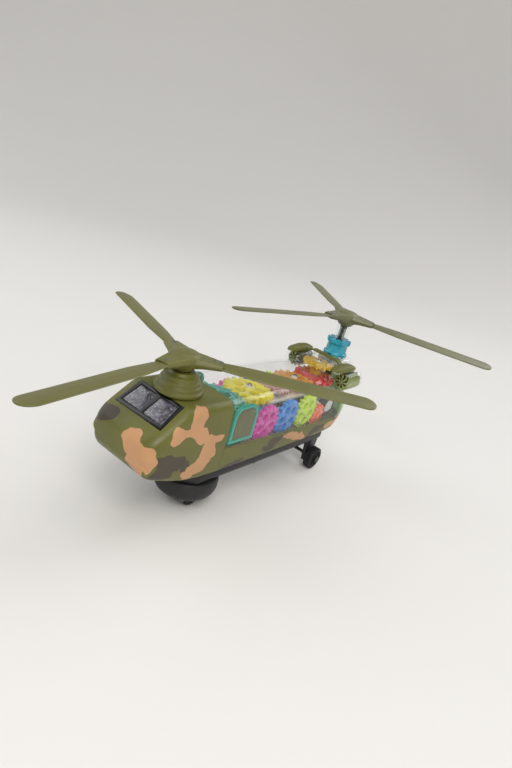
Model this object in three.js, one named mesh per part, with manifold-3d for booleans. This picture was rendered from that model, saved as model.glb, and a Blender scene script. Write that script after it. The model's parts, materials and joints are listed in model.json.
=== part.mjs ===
// Tandem-rotor gear helicopter. Millimetres, +Z up, nose to -Y, port side to +X, ground at z = 0.
import * as THREE from "three";
import { mergeVertices } from "three/addons/utils/BufferGeometryUtils.js";
import Module from "manifold-3d";

const wasm = await Module();
wasm.setup();

// Driving dimensions
const gap = 0.3;
const rotorRadius = 125;
const bladeChord = 15;
const bladeThickness = 2.2;
const bladePitch = 8;
const frontMastY = -76;
const rearMastY = 116;
const frontRotorZ = 114;
const rearRotorZ = 134;
const frontBladeAngle = 160;
const rearBladeAngle = 17;
const mastRadius = 3;

const noseY = -117;
const hoodEndY = -49;
const tailEndY = 128;
const hullHalf = 28;
const hullLow = 36;
const roofZ = 92;
const wall = 1.8;
const bandFrontZ = 57;
const bandRearZ = 49;

const deckZ = 71;
const deckThickness = 2.5;
const gearZ = 78;
const gearWidth = 4;
const deckModule = 2;
const sideModule = 1.5;
const axleZ = 64;
const sideDiscX = 20.5;
const sideDiscWidth = 3.5;
const crownTeeth = 20;
const crownRadius = 15;
const motorShaftRadius = 1.5;

const bellyZ = 26;
const turntableY = -46;
const turntableRadius = 23.5;
const driveWheelRadius = 9;
const rearWheelY = 94;
const rearWheelRadius = 10;
const rearWheelX = 23;
const cellRadius = 7.1;
const cellLength = 50;
const cellStartY = 9;
const nacelleX = 25.5;
const nacelleY = 107;
const nacelleZ = 86;

const radians = THREE.MathUtils.degToRad;

// Triangles of a geometry as one closed solid, turned to face outwards.
function solid(geometry) {
  const bare = geometry.index ? geometry.toNonIndexed() : geometry;
  const points = new THREE.BufferGeometry().setAttribute("position", bare.getAttribute("position"));
  const merged = mergeVertices(points, 1e-4);
  const triVerts = new Uint32Array(merged.index.array);
  const vertProperties = merged.attributes.position.array;
  if (signedVolume(vertProperties, triVerts) < 0) {
    triVerts.reverse();
  }
  return new wasm.Manifold(new wasm.Mesh({ numProp: 3, vertProperties, triVerts }));
}

function signedVolume(positions, triangles) {
  const corner = (i) => new THREE.Vector3().fromArray(positions, triangles[i] * 3);
  let total = 0;
  for (let i = 0; i < triangles.length; i += 3) {
    total += corner(i).dot(corner(i + 1).cross(corner(i + 2)));
  }
  return total;
}

function geometryOf(body) {
  const mesh = body.getMesh();
  const geometry = new THREE.BufferGeometry();
  geometry.setAttribute("position", new THREE.BufferAttribute(mesh.vertProperties.slice(), 3));
  geometry.setIndex(new THREE.BufferAttribute(mesh.triVerts.slice(), 1));
  return geometry;
}

function combined(kind, first, others) {
  let body = solid(first);
  for (const other of others) {
    body = body[kind](solid(other));
  }
  return geometryOf(body);
}

const join = (first, ...others) => combined("add", first, others);
const cut = (first, ...others) => combined("subtract", first, others);
const common = (first, ...others) => combined("intersect", first, others);

// A box by its low and high corners.
function block(low, high) {
  const size = high.map((value, i) => value - low[i]);
  const centre = high.map((value, i) => (value + low[i]) / 2);
  return new THREE.BoxGeometry(...size).translate(...centre);
}

// A skin over rings of points, with a fan at each end.
function skin(rings) {
  const count = rings[0].length;
  const positions = [];
  const push = (...points) => points.forEach((p) => positions.push(p.x, p.y, p.z));
  for (let i = 0; i + 1 < rings.length; i += 1) {
    for (let j = 0; j < count; j += 1) {
      const k = (j + 1) % count;
      push(rings[i][j], rings[i][k], rings[i + 1][k]);
      push(rings[i][j], rings[i + 1][k], rings[i + 1][j]);
    }
  }
  const capped = [rings[0], [...rings[rings.length - 1]].reverse()];
  for (const ring of capped) {
    const middle = ring.reduce((sum, p) => sum.add(p), new THREE.Vector3()).divideScalar(count);
    for (let j = 0; j < count; j += 1) {
      push(ring[(j + 1) % count], ring[j], middle);
    }
  }
  const geometry = new THREE.BufferGeometry();
  geometry.setAttribute("position", new THREE.Float32BufferAttribute(positions, 3));
  return geometry;
}

// A turned piece about +Z from [radius, height] steps.
function turned(profile, sides = 24) {
  const ring = ([radius, z]) => Array.from({ length: sides }, (_, i) => {
    const angle = (2 * Math.PI * i) / sides;
    return new THREE.Vector3(radius * Math.cos(angle), radius * Math.sin(angle), z);
  });
  return skin(profile.map(ring));
}

const rod = (radius, low, high, sides = 16) => turned([[radius, low], [radius, high]], sides);
const alongX = (geometry) => geometry.rotateY(Math.PI / 2);
const alongY = (geometry) => geometry.rotateX(-Math.PI / 2);

// An outline in the Y-Z plane, extruded across X between two stations.
function slab(points, fromX, toX) {
  const ring = (x) => points.map(([y, z]) => new THREE.Vector3(x, y, z));
  return skin([ring(fromX), ring(toX)]);
}

// A body section: low corner, waist and top corner, mirrored left to right.
function section({ y, low, high, base, waist, top, lowRound = 6, topRound = 7 }, inset = 0) {
  const half = [];
  const arc = (x, z, radius, from, to) => {
    for (let i = 0; i <= 4; i += 1) {
      const angle = radians(from + ((to - from) * i) / 4);
      half.push([x + radius * Math.cos(angle), z + radius * Math.sin(angle)]);
    }
  };
  const lowR = Math.max(lowRound - inset, 1);
  const topR = Math.max(topRound - inset, 1);
  arc(base - inset - lowR, low + inset + lowR, lowR, -90, 0);
  half.push([waist - inset, THREE.MathUtils.lerp(low, high, 0.4)]);
  arc(top - inset - topR, high - inset - topR, topR, 0, 90);
  const mirrored = half.map(([x, z]) => [-x, z]).reverse();
  return [...half, ...mirrored].map(([x, z]) => new THREE.Vector3(x, y, z));
}

// Nose hood
const noseSections = [
  { y: noseY, low: 55, high: 72, base: 23, waist: 25, top: 23.5 },
  { y: -112, low: 49, high: 76.5, base: 26.3, waist: 27.7, top: 26.8 },
  { y: -106, low: 46.5, high: 80, base: 27, waist: hullHalf, top: 27.6, topRound: 6 },
  { y: -89, low: 41, high: 91.5, base: 27, waist: hullHalf, top: 27.6, topRound: 6 },
  { y: -80, low: 38.7, high: roofZ, base: 27, waist: hullHalf, top: 27.6 },
  { y: -66, low: 36.6, high: roofZ, base: 27, waist: hullHalf, top: 27.6 },
  { y: hoodEndY, low: hullLow, high: roofZ - 0.5, base: 27, waist: hullHalf, top: 27.6 },
];

const screenLow = { y: -106, z: 80, half: 20.8 };
const screenHigh = { y: -89, z: 91.5, half: 19.4 };
const screenTilt = Math.atan2(screenHigh.z - screenLow.z, screenHigh.y - screenLow.y);
const screenLength = Math.hypot(screenHigh.z - screenLow.z, screenHigh.y - screenLow.y);

// A plate in the windshield's plane: its outline drawn in by inset, from depth to height over it.
function screenPlate(inset, depth, height, fromX = -99, toX = 99) {
  const low = screenLow.half - inset;
  const high = screenHigh.half - inset;
  const reach = screenLength / 2 - inset;
  const outline = (z) => [
    [Math.max(-low, fromX), -reach],
    [Math.min(low, toX), -reach],
    [Math.min(high, toX), reach],
    [Math.max(-high, fromX), reach],
  ].map(([x, y]) => new THREE.Vector3(x, y, z));
  return skin([outline(-depth), outline(height)])
    .rotateX(screenTilt)
    .translate(0, (screenLow.y + screenHigh.y) / 2, (screenLow.z + screenHigh.z) / 2);
}

function noseShell() {
  const outer = skin(noseSections.map((each) => section(each)));
  const thickness = 2.4;
  const length = hoodEndY - noseY;
  const scale = (length - thickness) / length;
  const innerSections = noseSections.map((each) => {
    const moved = { ...each, y: hoodEndY + (each.y - hoodEndY) * scale };
    return section(moved, thickness);
  });
  const mouth = section({ ...noseSections.at(-1), y: hoodEndY + 1 }, thickness);
  const inner = skin([...innerSections, mouth]);
  const shaftHole = rod(mastRadius + 1, 80, 100).translate(0, frontMastY, 0);
  return cut(outer, inner, screenPlate(-gap, 1.4, 8), shaftHole);
}

const paneInset = 2.6;
const paneSplit = 1.5;

function windshieldFrame() {
  const plate = screenPlate(0, 1.1, 0.4);
  const port = screenPlate(paneInset, 3, 3, paneSplit, 99);
  const starboard = screenPlate(paneInset, 3, 3, -99, -paneSplit);
  return cut(plate, port, starboard);
}

function windshieldPane(side) {
  const from = side > 0 ? paneSplit + gap : -99;
  const to = side > 0 ? 99 : -paneSplit - gap;
  return screenPlate(paneInset + gap, 1.1, 0, from, to);
}

function mastFairing() {
  const steps = [
    [16, 92.4], [16, 94.6], [14.4, 95.4], [14.4, 97.6], [13, 98.4], [13, 100.6],
    [11.6, 101.4], [11.6, 103.4], [9.4, 104.4], [8.2, 106],
  ];
  return cut(turned(steps, 28), rod(mastRadius + 0.6, 80, 110)).translate(0, frontMastY, 0);
}

// Rear fuselage: one envelope, split into band, clear cover and tail.
const bodySections = [
  { y: hoodEndY + gap, low: hullLow, high: roofZ - 0.5, base: 27, waist: hullHalf, top: 27.8 },
  { y: 66, low: hullLow, high: 90, base: 27, waist: hullHalf, top: 26.6 },
  { y: 84, low: hullLow, high: 89.5, base: 27, waist: hullHalf, top: 23.5 },
  { y: 106, low: 37.5, high: 88, base: 26, waist: hullHalf, top: 18.5 },
  { y: 118, low: 41.5, high: 85, base: 22, waist: 25, top: 14 },
  { y: tailEndY, low: 49, high: 74, base: 13, waist: 16, top: 11, lowRound: 4, topRound: 4 },
];
const tailSplitY = 108;

function bodyShell() {
  const outer = skin(bodySections.map((each) => section(each)));
  const inner = bodySections.map((each) => section(each, wall));
  inner[0].forEach((p) => { p.y -= 2; });
  inner.at(-1).forEach((p) => { p.y -= wall; });
  return cut(outer, skin(inner));
}

const bandLineZ = (y) => THREE.MathUtils.mapLinear(y, hoodEndY, tailEndY, bandFrontZ, bandRearZ);

// Everything under (side = -1) or over (side = 1) the sloping band line, from one station to another.
function bandHalf(side, fromY, toY, clearance = 0) {
  const far = side > 0 ? 120 : 0;
  return slab([
    [fromY, bandLineZ(fromY) + side * clearance],
    [toY, bandLineZ(toY) + side * clearance],
    [toY, far],
    [fromY, far],
  ], -40, 40);
}

function lowerHull() {
  const ring = common(bodyShell(), bandHalf(-1, hoodEndY, tailEndY + 1));
  const trayOpening = slab([[-60, 30], [106, 30], [106, 42.5], [-60, 42.5]], -23.6, 23.6);
  return cut(ring, trayOpening);
}

// Door outlines, in the Y-Z plane
const door = { front: -46.5, rear: -21, low: 59.5, high: 87, round: 9 };

function doorOutline(inset) {
  const points = [[door.rear - inset, door.low + inset], [door.front + inset, door.low + inset]];
  const corner = (y, from, to) => {
    for (let i = 0; i <= 4; i += 1) {
      const angle = radians(from + ((to - from) * i) / 4);
      const radius = door.round - inset;
      points.push([
        y + radius * Math.cos(angle),
        door.high - door.round + radius * Math.sin(angle),
      ]);
    }
  };
  corner(door.front + door.round, 180, 90);
  corner(door.rear - door.round, 90, 0);
  return points;
}

const doorPrism = (inset, side) => slab(doorOutline(inset), side * 14, side * 40);

function fuselageCover() {
  const shell = common(bodyShell(), bandHalf(1, hoodEndY, tailSplitY, gap));
  const pylonHole = block([-12.6, 80, 84], [12.6, tailSplitY + 2, 95]);
  const wells = [-1, 1].map((side) => doorPrism(-gap, side));
  const nacelleWells = [-1, 1].map((side) => nacelleBody(9).translate(side * nacelleX, 0, 0));
  return cut(shell, pylonHole, ...wells, ...nacelleWells);
}

const frameWidth = 2.6;
const doorFrame = (side) => common(bodyShell(), cut(doorPrism(0, side), doorPrism(frameWidth, side)));
const doorPanel = (side) => common(bodyShell(), doorPrism(frameWidth + gap, side));

function tailCap() {
  const shell = common(bodyShell(), bandHalf(1, tailSplitY + gap, tailEndY + 1, gap));
  const nacelleWells = [-1, 1].map((side) => nacelleBody(9).translate(side * nacelleX, 0, 0));
  const pylonHole = block([-10, 100, 74.5], [10, 122.4, 95]);
  return cut(shell, pylonHole, ...nacelleWells);
}

function pylonCover() {
  const plan = (half, fromY, toY, z) => {
    const nip = 4;
    return [
      [half, fromY + nip], [half, toY - nip], [half - nip, toY], [nip - half, toY],
      [-half, toY - nip], [-half, fromY + nip], [nip - half, fromY], [half - nip, fromY],
    ].map(([x, y]) => new THREE.Vector3(x, y, z));
  };
  const outer = skin([plan(15.6, 75.3, 131.4, 76), plan(15.3, 75.5, 131, 95), plan(12.4, 80.5, 127.5, 98)]);
  const inner = skin([plan(14.3, 76.6, 130.1, 75), plan(14, 76.9, 129.7, 94.8), plan(11.2, 81.8, 126.2, 96.4)]);
  const envelope = skin(bodySections.map((each) => section(each, -gap)));
  const shaftHole = rod(mastRadius + 1, 90, 110).translate(0, rearMastY, 0);
  return cut(outer, inner, envelope, shaftHole);
}

// Olive cowls along the tops of the nacelles, joined by a strap over the pylon
function engineCowls() {
  const rib = (side) => (y, half, height) => [
    [-half, 96], [-half, 96 + height * 0.4], [-half * 0.6, 96 + height],
    [half * 0.6, 96 + height], [half, 96 + height * 0.4], [half, 96],
  ].map(([x, z]) => new THREE.Vector3(x + side * 23, y, z));
  const cowls = [-1, 1].map(rib).map((at) =>
    skin([at(77, 2, 1.2), at(82, 4.4, 3.2), at(96, 5.6, 4.4), at(106, 5.2, 3.8), at(112, 3, 1.6)]));
  const bar = (x, z) => [[98, z - 0.8], [103.5, z - 0.8], [103.5, z + 0.8], [98, z + 0.8]]
    .map(([y, height]) => new THREE.Vector3(x, y, height));
  const strap = skin([bar(-20, 97.2), bar(-15.9, 97.1), bar(-12.5, 99.3), bar(12.5, 99.3), bar(15.9, 97.1), bar(20, 97.2)]);
  return join(cowls[0], strap, cowls[1]);
}

// Nacelle envelope along Y, at x = 0
function nacelleBody(radius) {
  const outline = [[radius * 0.84, 0], [radius, 2.5], [radius, 24], [radius * 0.8, 29], [radius * 0.5, 31.5]];
  return alongY(turned(outline, 20)).translate(0, nacelleY - 15.5, nacelleZ);
}

function nacelle(side) {
  const bore = alongY(turned([[7.8, -1], [7.8, 24], [6.2, 28.4]], 20)).translate(0, nacelleY - 15.5, nacelleZ);
  const exhaust = alongY(rod(2.4, 26, 34, 16)).translate(0, nacelleY - 15.5, nacelleZ);
  const strut = block([-1.4, nacelleY - 6, nacelleZ + 7.4], [1.4, nacelleY + 4, nacelleZ + 9.7]);
  return cut(join(nacelleBody(8.6), strut), bore, exhaust).translate(side * nacelleX, 0, 0);
}

function turbine(side) {
  const fins = 8;
  const ring = (y, turn, tip, root) => Array.from({ length: fins * 4 }, (_, i) => {
    const fin = Math.floor(i / 4);
    const offsets = [-0.42, -0.16, 0.16, 0.42];
    const radius = i % 4 === 1 || i % 4 === 2 ? tip : root;
    const angle = (2 * Math.PI * (fin + offsets[i % 4])) / fins + turn;
    return new THREE.Vector3(radius * Math.cos(angle), y, radius * Math.sin(angle));
  });
  const rings = Array.from({ length: 17 }, (_, i) => ring(i * 1.4, i * side * radians(14), 7.3, 4.6));
  const spinner = alongY(turned([[0.6, -3.2], [2.2, -2.2], [3, 0], [3, 1]], 16));
  return join(skin(rings), spinner).translate(side * nacelleX, nacelleY - 13.6, nacelleZ);
}

// Gears. A tooth is centred on the phase angle; angles run from +X to +Y about the gear's axis.
function toothed(teeth, module, phase) {
  const pitchRadius = (teeth * module) / 2;
  const tooth = [
    [pitchRadius - 1.05 * module, -0.31], [pitchRadius + 0.75 * module, -0.12],
    [pitchRadius + 0.75 * module, 0.12], [pitchRadius - 1.05 * module, 0.31],
  ];
  const points = [];
  for (let i = 0; i < teeth; i += 1) {
    for (const [radius, offset] of tooth) {
      const angle = phase + (2 * Math.PI * (i + offset)) / teeth;
      points.push(new THREE.Vector2(radius * Math.cos(angle), radius * Math.sin(angle)));
    }
  }
  return points;
}

function gearDisc({ teeth, module, width, phase, holes = 0, bore = 0 }) {
  const shape = new THREE.Shape(toothed(teeth, module, phase));
  const rim = (teeth * module) / 2 - 1.8 * module;
  if (bore > 0) {
    shape.holes.push(new THREE.Path().absarc(0, 0, bore, 0, 2 * Math.PI));
  }
  for (let i = 0; i < holes; i += 1) {
    const angle = phase + (2 * Math.PI * i) / holes;
    const middle = (rim + 4) / 2;
    const radius = Math.min((rim - 4) / 2 - 0.4, middle * Math.sin(Math.PI / holes) - 0.7);
    const hole = new THREE.Path();
    hole.absarc(middle * Math.cos(angle), middle * Math.sin(angle), radius, 0, 2 * Math.PI);
    shape.holes.push(hole);
  }
  return new THREE.ExtrudeGeometry(shape, { depth: width, bevelEnabled: false, curveSegments: 4 });
}

// The phase that meshes a follower with a gear, the follower lying in the given direction from it.
function meshPhase(phase, teeth, followerTeeth, direction) {
  const share = ((direction - phase) * teeth) / (2 * Math.PI);
  return direction + Math.PI - ((2 * Math.PI) / followerTeeth) * (0.5 - share);
}

const forward = Math.PI / 2;
const deckGears = [
  { name: "front_mast_gear", teeth: 14, y: frontMastY, bore: mastRadius + gap, holes: 0 },
  { name: "teal_gear", teeth: 22, holes: 6 },
  { name: "yellow_gear", teeth: 18, holes: 5 },
  { name: "rosy_gear", teeth: 13, holes: 4 },
  { name: "amber_gear", teeth: 16, holes: 5 },
  { name: "red_gear", teeth: 16, holes: 5 },
];
deckGears[0].phase = forward;
for (let i = 1; i < deckGears.length; i += 1) {
  const before = deckGears[i - 1];
  const gear = deckGears[i];
  gear.y = before.y + ((before.teeth + gear.teeth) * deckModule) / 2;
  gear.phase = meshPhase(before.phase, before.teeth, gear.teeth, forward);
}
const postRadius = 2.4;
const yellowY = deckGears[2].y;
const redGear = deckGears[5];
const topTeeth = 12;
const topZ = 90.6;

function deckGear(gear) {
  const bore = gear.bore ?? postRadius + gap;
  const hub = rod(bore + 1.8, deckZ + deckThickness + gap, gearZ + gearWidth + 0.8, 12);
  const disc = gearDisc({ ...gear, bore: 0, module: deckModule, width: gearWidth });
  let body = join(disc.translate(0, 0, gearZ), hub);
  if (gear.name === "yellow_gear") {
    body = join(body, crownRing());
  }
  return cut(body, rod(bore, 60, 100, 12)).translate(0, gear.y, 0);
}

// Face teeth under the yellow gear that turn the cross axle
function crownRing() {
  const flange = rod(crownRadius + 2, gearZ - 0.7, gearZ - 0.3, 24);
  const neck = rod(crownRadius + 0.4, gearZ - 0.7, gearZ + 1, 24);
  const base = cut(join(flange, neck), rod(crownRadius - 2, 60, 100, 24));
  const pitch = (2 * Math.PI * crownRadius) / crownTeeth;
  const teeth = Array.from({ length: crownTeeth }, (_, i) => {
    const ring = (radius) => [
      [-0.3 * pitch, gearZ - 0.4], [0.3 * pitch, gearZ - 0.4], [0.12 * pitch, 74.9], [-0.12 * pitch, 74.9],
    ].map(([across, z]) => new THREE.Vector3(radius, (across * radius) / crownRadius, z));
    return skin([ring(crownRadius - 1.8), ring(crownRadius + 1.8)]).rotateZ((2 * Math.PI * i) / crownTeeth);
  });
  return join(base, ...teeth);
}

// The gold gear sits on the red gear's sleeve and drives the rear mast.
function goldGear() {
  const phase = forward;
  const disc = gearDisc({ teeth: topTeeth, module: deckModule, width: 3.4, phase, holes: 4 });
  const sleeve = rod(5.4, gearZ + gearWidth + 1.1, topZ + 3.4, 24);
  return cut(join(disc.translate(0, 0, topZ), sleeve), rod(postRadius + gap, 70, 100, 12))
    .translate(0, redGear.y, 0);
}

function rearMastGear() {
  const phase = meshPhase(forward, topTeeth, topTeeth, forward);
  const disc = gearDisc({ teeth: topTeeth, module: deckModule, width: 3.4, phase, holes: 4 });
  return cut(disc.translate(0, 0, topZ), rod(mastRadius + gap, 70, 110, 24)).translate(0, rearMastY, 0);
}

// Side gears on cross axles; their angles run from +Y to +Z about +X.
const sideTeeth = 18;
const sideSpacing = sideTeeth * sideModule;
const orangeTeeth = 12;
const orangeTurn = -0.35;
const orangeReach = ((sideTeeth + orangeTeeth) * sideModule) / 2;
const sideGears = [
  { name: "magenta_gear", teeth: sideTeeth, y: yellowY, z: axleZ, phase: forward, holes: 5 },
  { name: "blue_gear", teeth: sideTeeth, y: yellowY + sideSpacing, z: axleZ, holes: 5 },
  { name: "lime_gear", teeth: sideTeeth, y: yellowY + 2 * sideSpacing, z: axleZ, holes: 5 },
  {
    name: "orange_gear",
    teeth: orangeTeeth,
    y: yellowY + 2 * sideSpacing + orangeReach * Math.cos(orangeTurn),
    z: axleZ + orangeReach * Math.sin(orangeTurn),
    shaft: motorShaftRadius,
    holes: 0,
  },
];
for (let i = 1; i < sideGears.length; i += 1) {
  const before = sideGears[i - 1];
  const gear = sideGears[i];
  const direction = Math.atan2(gear.z - before.z, gear.y - before.y);
  gear.phase = meshPhase(before.phase, before.teeth, gear.teeth, direction);
}
const orange = sideGears[3];

// Turns a piece drawn about +Z so that its axis is +X and its angles run from +Y to +Z.
const onCrossAxle = (geometry) => geometry.rotateZ(Math.PI / 2).rotateY(Math.PI / 2);

function sideGear(gear) {
  const disc = (x) => gearDisc({ ...gear, module: sideModule, width: sideDiscWidth })
    .translate(0, 0, x);
  const shaftRadius = gear.shaft ?? 2.2;
  const shaft = rod(shaftRadius, -sideDiscX - 1, sideDiscX + 1, 16);
  const bosses = [-1, 1].map((side) => {
    const low = side > 0 ? sideDiscX - 1 : -sideDiscX - sideDiscWidth - 0.8;
    return rod(3.6, low, low + sideDiscWidth + 1.8, 12);
  });
  const body = join(disc(sideDiscX), disc(-sideDiscX - sideDiscWidth), shaft, ...bosses);
  return onCrossAxle(body.rotateZ(Math.PI)).translate(0, gear.y, gear.z);
}

function cyanPinion() {
  const teeth = 16;
  const phase = forward + Math.PI / teeth;
  const disc = gearDisc({ teeth, module: sideModule, width: 3, phase }).translate(0, 0, 13.5);
  const hub = rod(4.6, 8, 14, 12);
  const body = cut(join(disc, hub), rod(2.2 + gap, 0, 30, 16));
  return onCrossAxle(body.rotateZ(Math.PI)).translate(0, yellowY, axleZ);
}

// Inner frames
function gearDeck() {
  const top = deckZ + deckThickness;
  const plate = block([-12.5, frontMastY - 9, deckZ], [12.5, redGear.y + 9, top]);
  const tongueEnd = block([-6.5, redGear.y, deckZ], [6.5, rearMastY + 5, top]);
  const posts = deckGears.slice(1).map((gear) => {
    const postTop = gear === redGear ? topZ + 4.2 : gearZ + gearWidth + 2.4;
    return rod(postRadius, deckZ + 1, postTop, 12).translate(0, gear.y, 0);
  });
  const legs = [[-10, -66], [10, -66], [-10, 98], [10, 98]].map(([x, y]) => {
    const foot = y < 0 ? 43 : 44;
    return block([x - 2, y - 2.5, foot], [x + 2, y + 2.5, deckZ + 1]);
  });
  return join(plate, tongueEnd, ...posts, ...legs);
}

function gearFrame() {
  const outline = [[yellowY - 15, 47], [orange.y + 9, 47], [orange.y + 9, 64], [orange.y - 4, 70], [yellowY - 15, 70]];
  const plates = [-1, 1].map((side) => slab(outline, side * 17.5, side * 19));
  const bars = [-13, 13.5, 40.5].map((y) => block([-18, y - 2, 47], [18, y + 2, 49.5]));
  const holes = sideGears.map((gear) => {
    const radius = (gear.shaft ?? 2.2) + gap;
    return alongX(rod(radius, -30, 30, 12)).translate(0, gear.y, gear.z);
  });
  return cut(join(plates[0], ...bars, plates[1]), ...holes);
}

function driveMotor() {
  const can = rod(10, -13.5, 13.5, 24);
  const ends = [-1, 1].map((side) => rod(4, side > 0 ? 13 : -15.6, side > 0 ? 15.6 : -13, 12));
  const body = cut(join(can, ...ends), rod(motorShaftRadius + gap, -30, 30, 16));
  return alongX(body).translate(0, orange.y, orange.z);
}

function speaker() {
  const bowl = turned([[5, 12.5], [5, 16], [8, 19], [8, 21.4]]);
  const slots = [-5, -2.5, 0, 2.5, 5].map((x) => block([x - 0.6, -5, 20], [x + 0.6, 5, 24]));
  return alongX(cut(bowl, ...slots)).translate(0, 95.5, 60);
}

function circuitBoard() {
  const plate = block([-17, -44, 46], [17, -18, 47.6]);
  const parts = [[-9, -36, 9, 7], [6, -34, 7, 9], [-4, -24, 12, 5]].map(([x, y, long, wide]) =>
    block([x - long / 2, y - wide / 2, 47], [x + long / 2, y + wide / 2, 50.4]));
  return join(plate, ...parts);
}

function batteryCell(index) {
  const x = (index - 2) * (2 * cellRadius + gap);
  const profile = [[6.6, 0], [cellRadius, 0.6], [cellRadius, cellLength - 0.6], [6.6, cellLength], [2.6, cellLength], [2.6, cellLength + 1.2]];
  const cell = alongY(turned(profile, 16));
  if (index === 2) {
    cell.rotateZ(Math.PI).translate(0, cellLength + 1.2, 0);
  }
  return cell.translate(x, cellStartY, 37.8);
}

const bay = { fromY: 6, toY: 64, half: 22.6 };

function bellyChassis() {
  const rim = (half, fromY, toY, z) => {
    const nip = 9;
    return [
      [half, fromY + nip], [half, toY - nip], [half - nip, toY], [nip - half, toY],
      [-half, toY - nip], [-half, fromY + nip], [nip - half, fromY], [half - nip, fromY],
    ].map(([x, y]) => new THREE.Vector3(x, y, z));
  };
  const outer = skin([rim(19.5, -66, 100, bellyZ), rim(23.2, -68, 104, 31), rim(23.2, -68, 104, 35.7)]);
  const inner = skin([rim(18, -64.5, 98.5, bellyZ + 2), rim(21.9, -66.7, 102.7, 31.2), rim(21.9, -66.7, 102.7, 40)]);
  const ledge = block([-21, bay.fromY - 2, bellyZ + 1], [21, bay.fromY, 35]);
  const rearLedge = block([-21, bay.toY, bellyZ + 1], [21, bay.toY + 2, 35]);
  const struts = [-1, 1].map((side) => {
    const from = side * 15.2;
    const profile = [[rearWheelY - 9, 28], [rearWheelY - 5, 5.5], [rearWheelY + 5, 5.5], [rearWheelY + 7.5, 28]];
    return slab(profile, from, from + side * 3.4);
  });
  const tray = join(cut(outer, inner), ledge, rearLedge, ...struts);
  const doorHole = block([-17, bay.fromY + 1, 20], [17, bay.toY - 1, bellyZ + 6]);
  const swivelHole = rod(5.6, 20, 40).translate(0, turntableY, 0);
  const knobSlot = block([-6, -11, 20], [6, -4, 40]);
  const axleHole = alongX(rod(1.8, -40, 40, 12)).translate(0, rearWheelY, rearWheelRadius);
  return cut(tray, doorHole, swivelHole, knobSlot, axleHole);
}

function batteryDoor() {
  const face = bellyZ - gap;
  const plate = block([-17 + gap, bay.fromY + 1 + gap, face], [17 - gap, bay.toY - 1 - gap, bellyZ + 2]);
  const grooves = [0, 1, 2].map((i) => block([-8, 11 + i * 3, face - 1], [8, 12.4 + i * 3, face + 0.7]));
  const screwWell = rod(2.6, 20, face + 1.1, 12).translate(0, bay.toY - 7, 0);
  return cut(plate, ...grooves, screwWell);
}

function switchKnob() {
  const plate = block([-11, -12.5, bellyZ + 2 + gap], [6, -2.5, bellyZ + 3.8]);
  const thumb = block([-5.6, -10.7, bellyZ - 2], [0.4, -4.3, bellyZ + 3]);
  return join(plate, thumb);
}

// Rotors
function mast(y, top, extra) {
  const shaft = rod(mastRadius, deckZ + deckThickness + gap, top);
  return (extra ? join(shaft, extra) : shaft).translate(0, y, 0);
}

function ribbedColumn() {
  const fins = Array.from({ length: 8 }, (_, i) =>
    block([2, -0.7, 113.8], [6.4, 0.7, 125.4]).rotateZ((Math.PI * i) / 4));
  return join(rod(4.4, 113.8, 125.4), ...fins);
}

function crownSleeve() {
  const body = turned([[10.6, 98.4], [10.6, 101], [9.2, 102], [9.2, 109], [10.6, 110], [10.6, 113.4]], 24);
  const notches = Array.from({ length: 6 }, (_, i) =>
    block([5.4, -2, 110.2], [12, 2, 115]).rotateZ((Math.PI * i) / 3));
  const cutOuts = Array.from({ length: 6 }, (_, i) =>
    block([7.4, -2, 96], [12, 2, 100.6]).rotateZ((Math.PI * (i + 0.5)) / 3));
  return cut(body, ...notches, ...cutOuts, rod(mastRadius + gap, 90, 120)).translate(0, rearMastY, 0);
}

const armEnd = 24;
const tongue = { from: 14, half: 3.4, thick: 1.5 };

function hub(y, z, firstAngle) {
  const profile = [
    [5.6, -7.7], [7.4, -5.5], [9.6, -2], [10.6, 1], [9.8, 2.8], [7.4, 4.4], [3.6, 5.2], [1, 5.4],
  ];
  const arms = [0, 1, 2].map((i) => {
    const rib = (x, half, low, high) => [
      [-half, 0], [-half * 0.7, low], [half * 0.7, low], [half, 0], [half * 0.8, high], [-half * 0.8, high],
    ].map(([across, height]) => new THREE.Vector3(x, across, height));
    const arm = skin([rib(2, 9.5, -5, 3.6), rib(13, 7.4, -2.8, 2.8), rib(armEnd, 5.6, -1.9, 1.9)]);
    const slot = block([tongue.from - gap, -tongue.half - gap, -tongue.thick / 2 - gap],
      [armEnd + 2, tongue.half + gap, tongue.thick / 2 + gap]);
    return cut(arm, slot).rotateZ(radians(firstAngle + 120 * i));
  });
  const shaftHole = rod(mastRadius + gap, -20, -1.8);
  return cut(join(turned(profile, 24), ...arms), shaftHole).translate(0, y, z);
}

function blade(y, z, angle) {
  const start = armEnd + gap;
  const half = bladeChord / 2;
  const widen = 22;
  const outline = [[start, -5.2], [start + widen, -half]];
  for (let i = 0; i <= 8; i += 1) {
    const turn = radians(-90 + 22.5 * i);
    outline.push([rotorRadius - half + half * Math.cos(turn), half * Math.sin(turn)]);
  }
  outline.push([start + widen, half], [start, 5.2]);
  const shape = new THREE.Shape(outline.map(([x, across]) => new THREE.Vector2(x, across)));
  const paddle = new THREE.ExtrudeGeometry(shape, {
    depth: bladeThickness - 1.2,
    bevelEnabled: true,
    bevelThickness: 0.6,
    bevelSize: 0.8,
    bevelOffset: -0.8,
    bevelSegments: 1,
  }).translate(0, 0, 0.6 - bladeThickness / 2).rotateX(radians(bladePitch));
  const root = block([tongue.from, -tongue.half, -tongue.thick / 2], [start + 6, tongue.half, tongue.thick / 2]);
  return join(paddle, root).rotateZ(radians(angle)).translate(0, y, z);
}

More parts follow.
